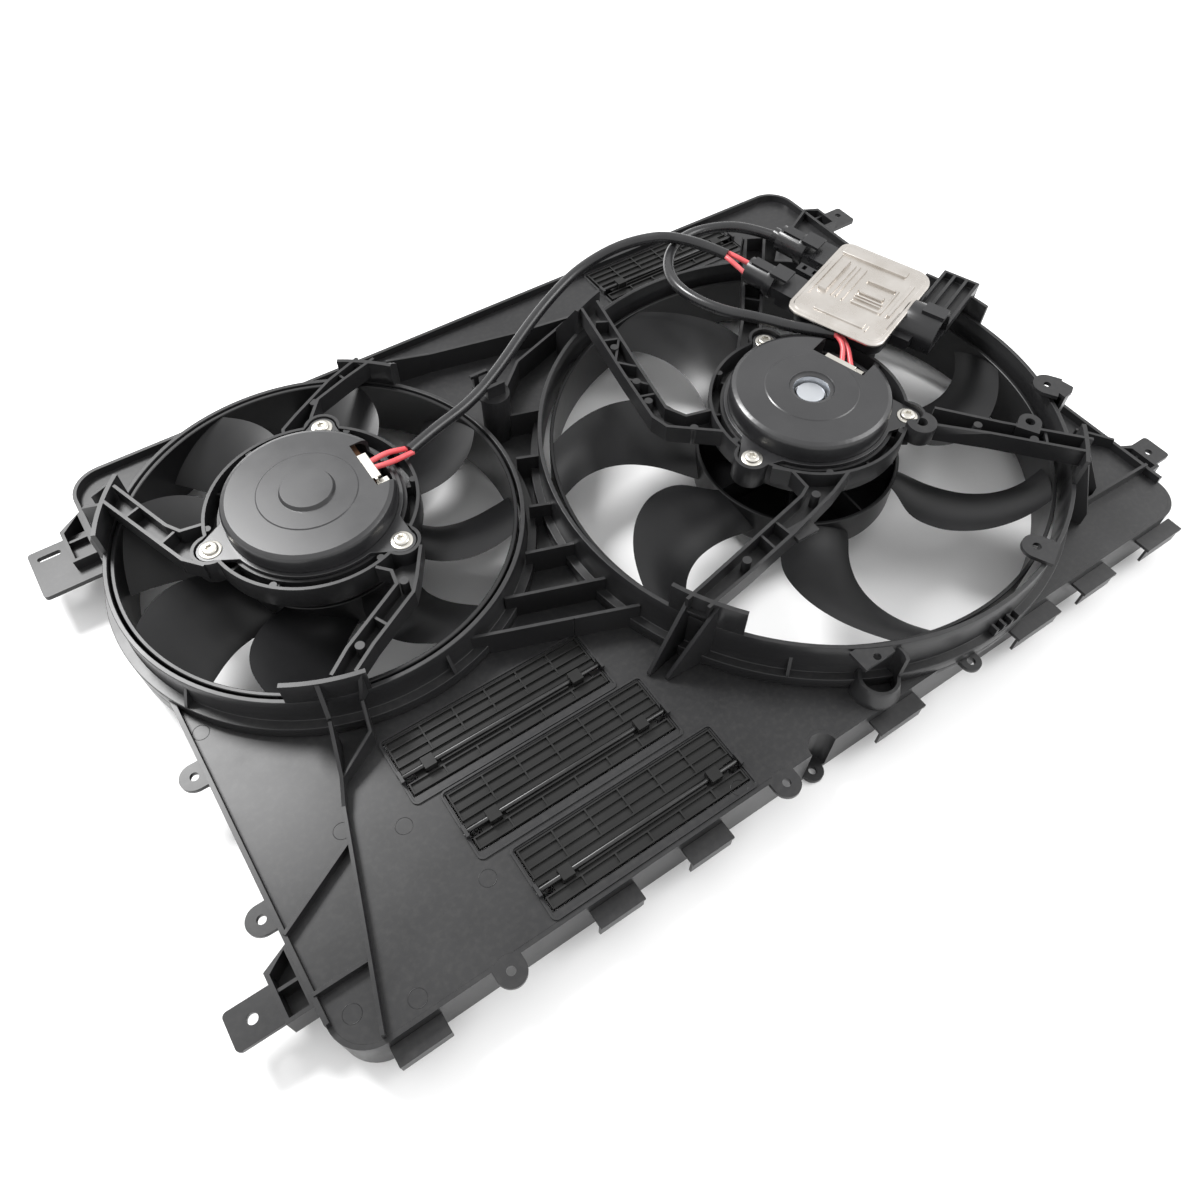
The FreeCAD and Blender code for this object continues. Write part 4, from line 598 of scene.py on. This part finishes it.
def blade_sections(stations, centre, hub, tip, turn):
    """The sections of one blade from the hub to the ring."""
    step = (tip - hub) / (len(stations) - 1)
    radii = [hub + step * i for i in range(len(stations))]
    edges = [[row[0] / r for row, r in zip(stations, radii)], [row[1] for row in stations],
             [row[2] / r for row, r in zip(stations, radii)], [row[3] for row in stations]]
    first, last = hub - ROOT_OVERLAP, tip + TIP_OVERLAP
    sections = []
    for k in range(BLADE_ROWS + 1):
        radius = first + (last - first) * k / BLADE_ROWS
        lead, lead_z, trail, trail_z = (between(line, (radius - hub) / step) for line in edges)
        sections.append(blade_outline(radius, (lead, lead_z), (trail, trail_z), centre, turn))
    return sections


class FAN_OT_fans(bpy.types.Operator):
    """Model both fans with smooth swept blades"""
    bl_idname = "fan.fans"
    bl_label = "Fans"

    def execute(self, context):
        for prefix, (centre, hub, tip, low, top, brim) in FANS.items():
            form = bmesh.new()
            lathe(form, centre, hub_outline(hub, low, brim), HUB_STEPS)
            lathe(form, centre, ring_outline(tip, low, top), RING_STEPS)
            for i in range(HUB_RIBS):
                skin(form, hub_rib(centre, hub, low, brim, math.tau * i / HUB_RIBS))
            for turn in BLADE_ANGLES[prefix]:
                skin(form, blade_sections(BLADE_EDGES[prefix], centre, hub, tip, math.radians(turn)))
            dress(new_piece(prefix + "_fan_wheel", form), "fan_plastic", prefix + "_rotor",
                  prefix + "_fan", 40)
        return {"FINISHED"}


# The bright cup, the dark rolled lip and a ring of painted shade in the groove of the large motor's can

CAN_TOP = 72.8
CUP_STEPS = 96
# Each outline as radius and depth below the can's top, in millimetres
LIP = [(15.8, 0.5), (15.3, 1.3), (13.6, 1.6), (13.0, 1.9), (12.9, 2.4), (13.6, 2.4), (13.7, 2.2), (15.8, 1.8)]
CUP = [(13.3, 2.3), (12.9, 2.5), (12.6, 4.0), (11.2, 7.6), (10.4, 8.0), (9.8, 8.2), (9.8, 5.2), (9.5, 4.8),
       (9.0, 4.65), (0.05, 4.6), (0.05, 5.1), (9.2, 5.15), (9.25, 8.8), (12.3, 8.8), (13.5, 8.0), (13.6, 2.5)]
# A ring in the motor's dark paint laid in the cup's groove between wall and boss: painted shade that darkens
# the groove
GROOVE_SHADE = [(9.85, 6.2), (9.85, 8.0), (10.5, 7.9), (10.9, 7.4), (10.6, 7.3), (10.2, 7.6), (10.1, 6.2)]


class FAN_OT_cup(bpy.types.Operator):
    """Fit the bright cup down the hole of the large motor's can"""
    bl_idname = "fan.cup"
    bl_label = "Bearing cup"

    def execute(self, context):
        rows = (("large_cup", CUP, "bearing_steel", "large_motor_bearing_cup"),
                ("large_cup_lip", LIP, "motor_paint", None),
                # The last row is painted shade: a dark ring in the groove of the steel cup
                ("large_cup_groove_shade", GROOVE_SHADE, "motor_paint", None))
        for name, outline, slot, node in rows:
            form = bmesh.new()
            lathe(form, AXES["large"], [(r, CAN_TOP - depth) for r, depth in outline], CUP_STEPS)
            dress(new_piece(name, form), slot, ROOT, node)
        return {"FINISHED"}


# The module's pressed lid

MODULE = (561.6, 249.0)
MODULE_ANGLE = math.radians(20.3)
LID_TOP = 79.0
# Half sizes of the lid and the rounding of its corners, from the near right one round to the near left
LID_HALF = (50.6, 38.9)
LID_CORNERS = (15, 9, 12, 10)
# The lid's edge from its underside up: how far it is drawn in, and its height from the top
LID_EDGE = [(0.9, -4.0), (0.1, -3.6), (0, -2.4), (0.35, -1.6), (1.1, -1.25), (2.6, -1.2), (3.2, -1.0),
            (3.9, -0.2), (4.5, 0)]
# Forms narrower than this have a plain slope for a side
NARROW_FORM = 1.8
SMALLEST_ROUND = 0.05
# Each raised form: left, right, near and far edge about the lid's middle, height and end rounding
LID_FORMS = [
    (-17.5, 24.5, 21.2, 28.6, 2.6, 0.8), (-19, 23.6, 15.8, 17.4, 1.3, 0.5), (-18.4, 24, 12.2, 13.8, 1.3, 0.5),
    (-19.4, 23.4, 6.6, 8.2, 1.3, 0.5), (-5.2, 0.4, -19.6, 2, 2.6, 2.6), (11.4, 14.4, -22, 1.4, 1.7, 0.8),
    (-8.9, -7.1, -21, 2, 1.4, 0.6), (-12.7, -10.9, -21, 1.2, 1.4, 0.6), (-18, -16.2, -22, 0.8, 1.4, 0.6),
    (-18, 14.4, -24.6, -22.4, 1.7, 0.6), (-17, 27, -31.4, -28, 2.0, 0.8), (32.4, 40.6, -21, 33, 1.4, 1.0),
    (-40.4, -33.4, -20.5, 20, 1.3, 1.0), (-42, -35, -23.6, -22.2, 1.0, 0.4), (-26, 31, 30.8, 32.2, 0.8, 0.5),
    (-30, -7, -35, -34, 0.8, 0.4)]


def lid_point(u, v, z):
    """A place given about the middle of the lid, along its long and short side."""
    x = MODULE[0] + u * math.cos(MODULE_ANGLE) - v * math.sin(MODULE_ANGLE)
    y = MODULE[1] + u * math.sin(MODULE_ANGLE) + v * math.cos(MODULE_ANGLE)
    return plate_point(x, y, z)


def rounded(u0, u1, v0, v1, rounds, inset, height, steps=6):
    """A rectangle with rounded corners on the lid, drawn in by an inset, at one height."""
    places = []
    corners = ((u1, v0, -90, -1, 1), (u1, v1, 0, -1, -1), (u0, v1, 90, 1, -1), (u0, v0, 180, 1, 1))
    for (u, v, start, du, dv), radius in zip(corners, rounds):
        for k in range(steps + 1):
            angle = math.radians(start + 90 * k / steps)
            reach = max(radius - inset, SMALLEST_ROUND)
            pull = max(radius, inset + SMALLEST_ROUND)
            places.append(lid_point(u + du * pull + reach * math.cos(angle),
                                    v + dv * pull + reach * math.sin(angle), height))
    return places


class FAN_OT_lid(bpy.types.Operator):
    """Press the module's lid with its stepped border and raised forms"""
    bl_idname = "fan.lid"
    bl_label = "Module lid"

    def execute(self, context):
        form = bmesh.new()
        half_u, half_v = LID_HALF
        skin(form, [rounded(-half_u, half_u, -half_v, half_v, LID_CORNERS, inset, LID_TOP + drop)
                    for inset, drop in LID_EDGE])
        for u0, u1, v0, v1, height, turn in LID_FORMS:
            steps = [(0, -0.6), (0, 0.02), (0.25, height * 0.75), (0.6, height)]
            if min(u1 - u0, v1 - v0) < NARROW_FORM:
                steps = [(0, -0.6), (0.05, 0.1), (0.3, height)]
            skin(form, [rounded(u0, u1, v0, v1, (turn,) * 4, inset, LID_TOP + rise, 4)
                        for inset, rise in steps])
        dress(new_piece("module_pressed_lid", form), "lid_aluminium", ROOT, "module_lid", 25)
        return {"FINISHED"}


# Screws with a pressed washer and a six-lobed socket

# For each motor: height of the screw seats and angle of the first screw
SCREW_SEATS = {"small": (49.0, 60.0), "large": (57.0, 76.0)}
SCREW_CIRCLE = 70.0
SCREWS_PER_MOTOR = 3
# Sizes of a screw in metres
WASHER_RADIUS = 0.0074
WASHER_THICK = 0.0009
WASHER_RIM = 0.0007
WASHER_RISE = 0.0003
HEAD_HEIGHT = 0.0014
# How far each step of the head's crown goes in and up
CROWN_STEPS = ((0.0007, 0.0006), (0.0009, 0.0002))
SOCKET_DEPTH = 0.0018
SCREW_EDGE = 0.00012
LOBES = 6
LOBE_SHARE = 0.14
# Makes each screw stop at an angle of its own
SOCKET_TURN = 2.3


def select_top(thing):
    """Selects the faces that look up, in edit mode."""
    form = bmesh.from_edit_mesh(thing.data)
    for face in form.faces:
        face.select = face.normal.z > 0.9
    bmesh.update_edit_mesh(thing.data)


def apply_modifiers(thing):
    bpy.context.view_layer.objects.active = thing
    for modifier in list(thing.modifiers):
        bpy.ops.object.modifier_apply(modifier=modifier.name)


def joined(things, name):
    """Makes one object of several, at the origin, with its place in its mesh."""
    bpy.ops.object.select_all(action="DESELECT")
    for thing in things:
        thing.select_set(True)
    whole = things[0]
    bpy.context.view_layer.objects.active = whole
    bpy.ops.object.join()
    whole.name = name
    bpy.ops.object.transform_apply(location=True, rotation=True, scale=True)
    return whole


def screw_form(head, socket):
    """One screw seated at the origin, modelled once."""
    bpy.ops.object.select_all(action="DESELECT")
    bpy.ops.mesh.primitive_cylinder_add(vertices=48, radius=WASHER_RADIUS, depth=WASHER_THICK,
                                        location=(0, 0, WASHER_THICK / 2))
    screw = bpy.context.object
    bpy.ops.object.mode_set(mode="EDIT")
    select_top(screw)
    bpy.ops.mesh.inset(thickness=WASHER_RIM)
    bpy.ops.transform.translate(value=(0, 0, WASHER_RISE))
    bpy.ops.mesh.inset(thickness=WASHER_RADIUS - WASHER_RIM - head)
    bpy.ops.mesh.extrude_region_move(TRANSFORM_OT_translate={"value": (0, 0, HEAD_HEIGHT)})
    for inset, rise in CROWN_STEPS:
        bpy.ops.mesh.inset(thickness=inset)
        bpy.ops.transform.translate(value=(0, 0, rise))
    bpy.ops.mesh.inset(thickness=head - sum(inset for inset, rise in CROWN_STEPS) - socket)
    form = bmesh.from_edit_mesh(screw.data)
    rim = {v for f in form.faces if f.select for v in f.verts}
    for vert in rim:
        angle = math.atan2(vert.co.y, vert.co.x)
        reach = socket * (1 - LOBE_SHARE + LOBE_SHARE * math.cos(LOBES * angle))
        vert.co.x = reach * math.cos(angle)
        vert.co.y = reach * math.sin(angle)
    bmesh.update_edit_mesh(screw.data)
    bpy.ops.mesh.extrude_region_move(TRANSFORM_OT_translate={"value": (0, 0, -SOCKET_DEPTH)})
    bpy.ops.object.mode_set(mode="OBJECT")
    bevel = screw.modifiers.new("Bevel", "BEVEL")
    bevel.width = SCREW_EDGE
    bevel.segments = ROUNDING_STEPS
    bevel.limit_method = "ANGLE"
    apply_modifiers(screw)
    return screw


class FAN_OT_screws(bpy.types.Operator):
    """Fit the three screws of each motor flange"""
    bl_idname = "fan.screws"
    bl_label = "Flange screws"

    def execute(self, context):
        looks = context.scene.fan_looks
        pattern = screw_form(looks.screw_head, looks.socket_radius)
        for prefix, (seat, first) in SCREW_SEATS.items():
            cx, cy = AXES[prefix]
            copies = []
            for i in range(SCREWS_PER_MOTOR):
                angle = math.radians(first + 360 / SCREWS_PER_MOTOR * i)
                copy = pattern.copy()
                copy.data = pattern.data.copy()
                context.scene.collection.objects.link(copy)
                x = cx + SCREW_CIRCLE * math.cos(angle)
                y = cy + SCREW_CIRCLE * math.sin(angle)
                turn = Matrix.Rotation(angle * SOCKET_TURN, 4, "Z")
                copy.matrix_world = Matrix.Translation(plate_point(x, y, seat)) @ turn
                copies.append(copy)
            screws = joined(copies, prefix + "_flange_screws")
            dress(screws, "zinc_steel", ROOT, prefix + "_motor_screws")
        bpy.data.objects.remove(pattern)
        return {"FINISHED"}


# Round ejector marks on the plate

# Place of each mark in millimetres from the plate's corner
MARKS = [(46, 10.7), (109, 45.4), (52.7, 116.7), (84, 99.3), (8, 223), (8, 259), (14, 23),
         (262, 8.5), (334, 70.6)]
MARK_WIRE = 0.00022


class FAN_OT_marks(bpy.types.Operator):
    """Raise the thin rims that the mould's ejector pins leave on the plate"""
    bl_idname = "fan.marks"
    bl_label = "Ejector marks"

    def execute(self, context):
        looks = context.scene.fan_looks
        rings = []
        for x, y in MARKS[:looks.mark_count]:
            bpy.ops.object.select_all(action="DESELECT")
            bpy.ops.mesh.primitive_torus_add(
                major_segments=40, minor_segments=6, major_radius=looks.mark_radius,
                minor_radius=MARK_WIRE, location=plate_point(x, y, 0))
            rings.append(context.object)
        dress(joined(rings, "ejector_marks"), "shroud_plastic", ROOT, smooth=180)
        return {"FINISHED"}


# Floor, light and camera

# Place of the camera in millimetres and its turn in degrees
CAMERA_PLACE = (-282.84, -358.99, 568.86)
CAMERA_TURN = (34.5717, -0.7007, -34.1907)
CAMERA_LENS = 28.346
SENSOR_WIDTH = 36.0
# Width of the floor and how far it lies below the object, in metres
FLOOR_SIZE = 12
FLOOR_GAP = 0.0005
# Place of each lamp in metres, its width and its power in watts
LAMPS = {"Key lamp": ((-0.5, 1.1, 1.5), 0.6, 38.0), "Fill lamp": ((1.3, -0.6, 1.3), 1.0, 13.0)}
SKY_STRENGTH = 1.15


def pale_material(name, colour, rough):
    material = bpy.data.materials.new(name)
    material.use_nodes = True
    shader = material.node_tree.nodes["Principled BSDF"]
    shader.inputs["Base Color"].default_value = rgba(colour)
    shader.inputs["Roughness"].default_value = rough
    return material


def soft_lamp(name, place, size, power):
    """A round soft lamp that is aimed at the origin."""
    data = bpy.data.lights.new(name, "AREA")
    data.shape = "DISK"
    data.size = size
    data.energy = power
    lamp = bpy.data.objects.new(name, data)
    bpy.context.scene.collection.objects.link(lamp)
    lamp.location = place
    lamp.rotation_euler = (-Vector(place)).to_track_quat("-Z", "Y").to_euler()


class FAN_OT_stage(bpy.types.Operator):
    """Lay the pale floor, hang the lamps and set the camera"""
    bl_idname = "fan.stage"
    bl_label = "Stage"

    def execute(self, context):
        scene = context.scene
        bpy.ops.object.select_all(action="DESELECT")
        bpy.ops.mesh.primitive_plane_add(size=FLOOR_SIZE, location=(0, 0, -FLOOR_GAP))
        floor = context.object
        floor.name = "studio_floor"
        floor.data.materials.append(pale_material("Pale floor", (0.9, 0.9, 0.9), 0.6))
        world = bpy.data.worlds.new("Soft studio")
        world.use_nodes = True
        world.node_tree.nodes["Background"].inputs["Color"].default_value = (1.0, 1.0, 1.0, 1.0)
        world.node_tree.nodes["Background"].inputs["Strength"].default_value = SKY_STRENGTH
        scene.world = world
        for name, (place, size, power) in LAMPS.items():
            soft_lamp(name, place, size, power)
        data = bpy.data.cameras.new("Photo view")
        data.lens = CAMERA_LENS
        data.sensor_width = SENSOR_WIDTH
        data.clip_start = 0.01
        camera = bpy.data.objects.new("Photo view", data)
        scene.collection.objects.link(camera)
        camera.location = [v * MM for v in CAMERA_PLACE]
        camera.rotation_euler = [math.radians(v) for v in CAMERA_TURN]
        scene.camera = camera
        scene.view_settings.view_transform = "Standard"
        return {"FINISHED"}


OPERATORS = [FAN_OT_finishes, FAN_OT_round_edges, FAN_OT_cables, FAN_OT_fans, FAN_OT_cup, FAN_OT_lid,
             FAN_OT_screws, FAN_OT_marks, FAN_OT_stage]


class FAN_PT_looks(bpy.types.Panel):
    """Pieces and finishes of the fan assembly"""
    bl_idname = "FAN_PT_looks"
    bl_label = "Fan assembly"
    bl_space_type = "VIEW_3D"
    bl_region_type = "UI"
    bl_category = "Fan assembly"

    def draw(self, context):
        looks = context.scene.fan_looks
        for name in FanLooks.__annotations__:
            self.layout.prop(looks, name)
        for operator in OPERATORS:
            self.layout.operator(operator.bl_idname)


CLASSES = [FanLooks, *OPERATORS, FAN_PT_looks]


def register():
    for cls in CLASSES:
        bpy.utils.register_class(cls)
    bpy.types.Scene.fan_looks = PointerProperty(type=FanLooks)


def unregister():
    del bpy.types.Scene.fan_looks
    for cls in reversed(CLASSES):
        bpy.utils.unregister_class(cls)


def main():
    register()
    for operator in OPERATORS:
        group, name = operator.bl_idname.split(".")
        getattr(getattr(bpy.ops, group), name)()
    bpy.context.view_layer.update()


if __name__ == "__main__":
    main()
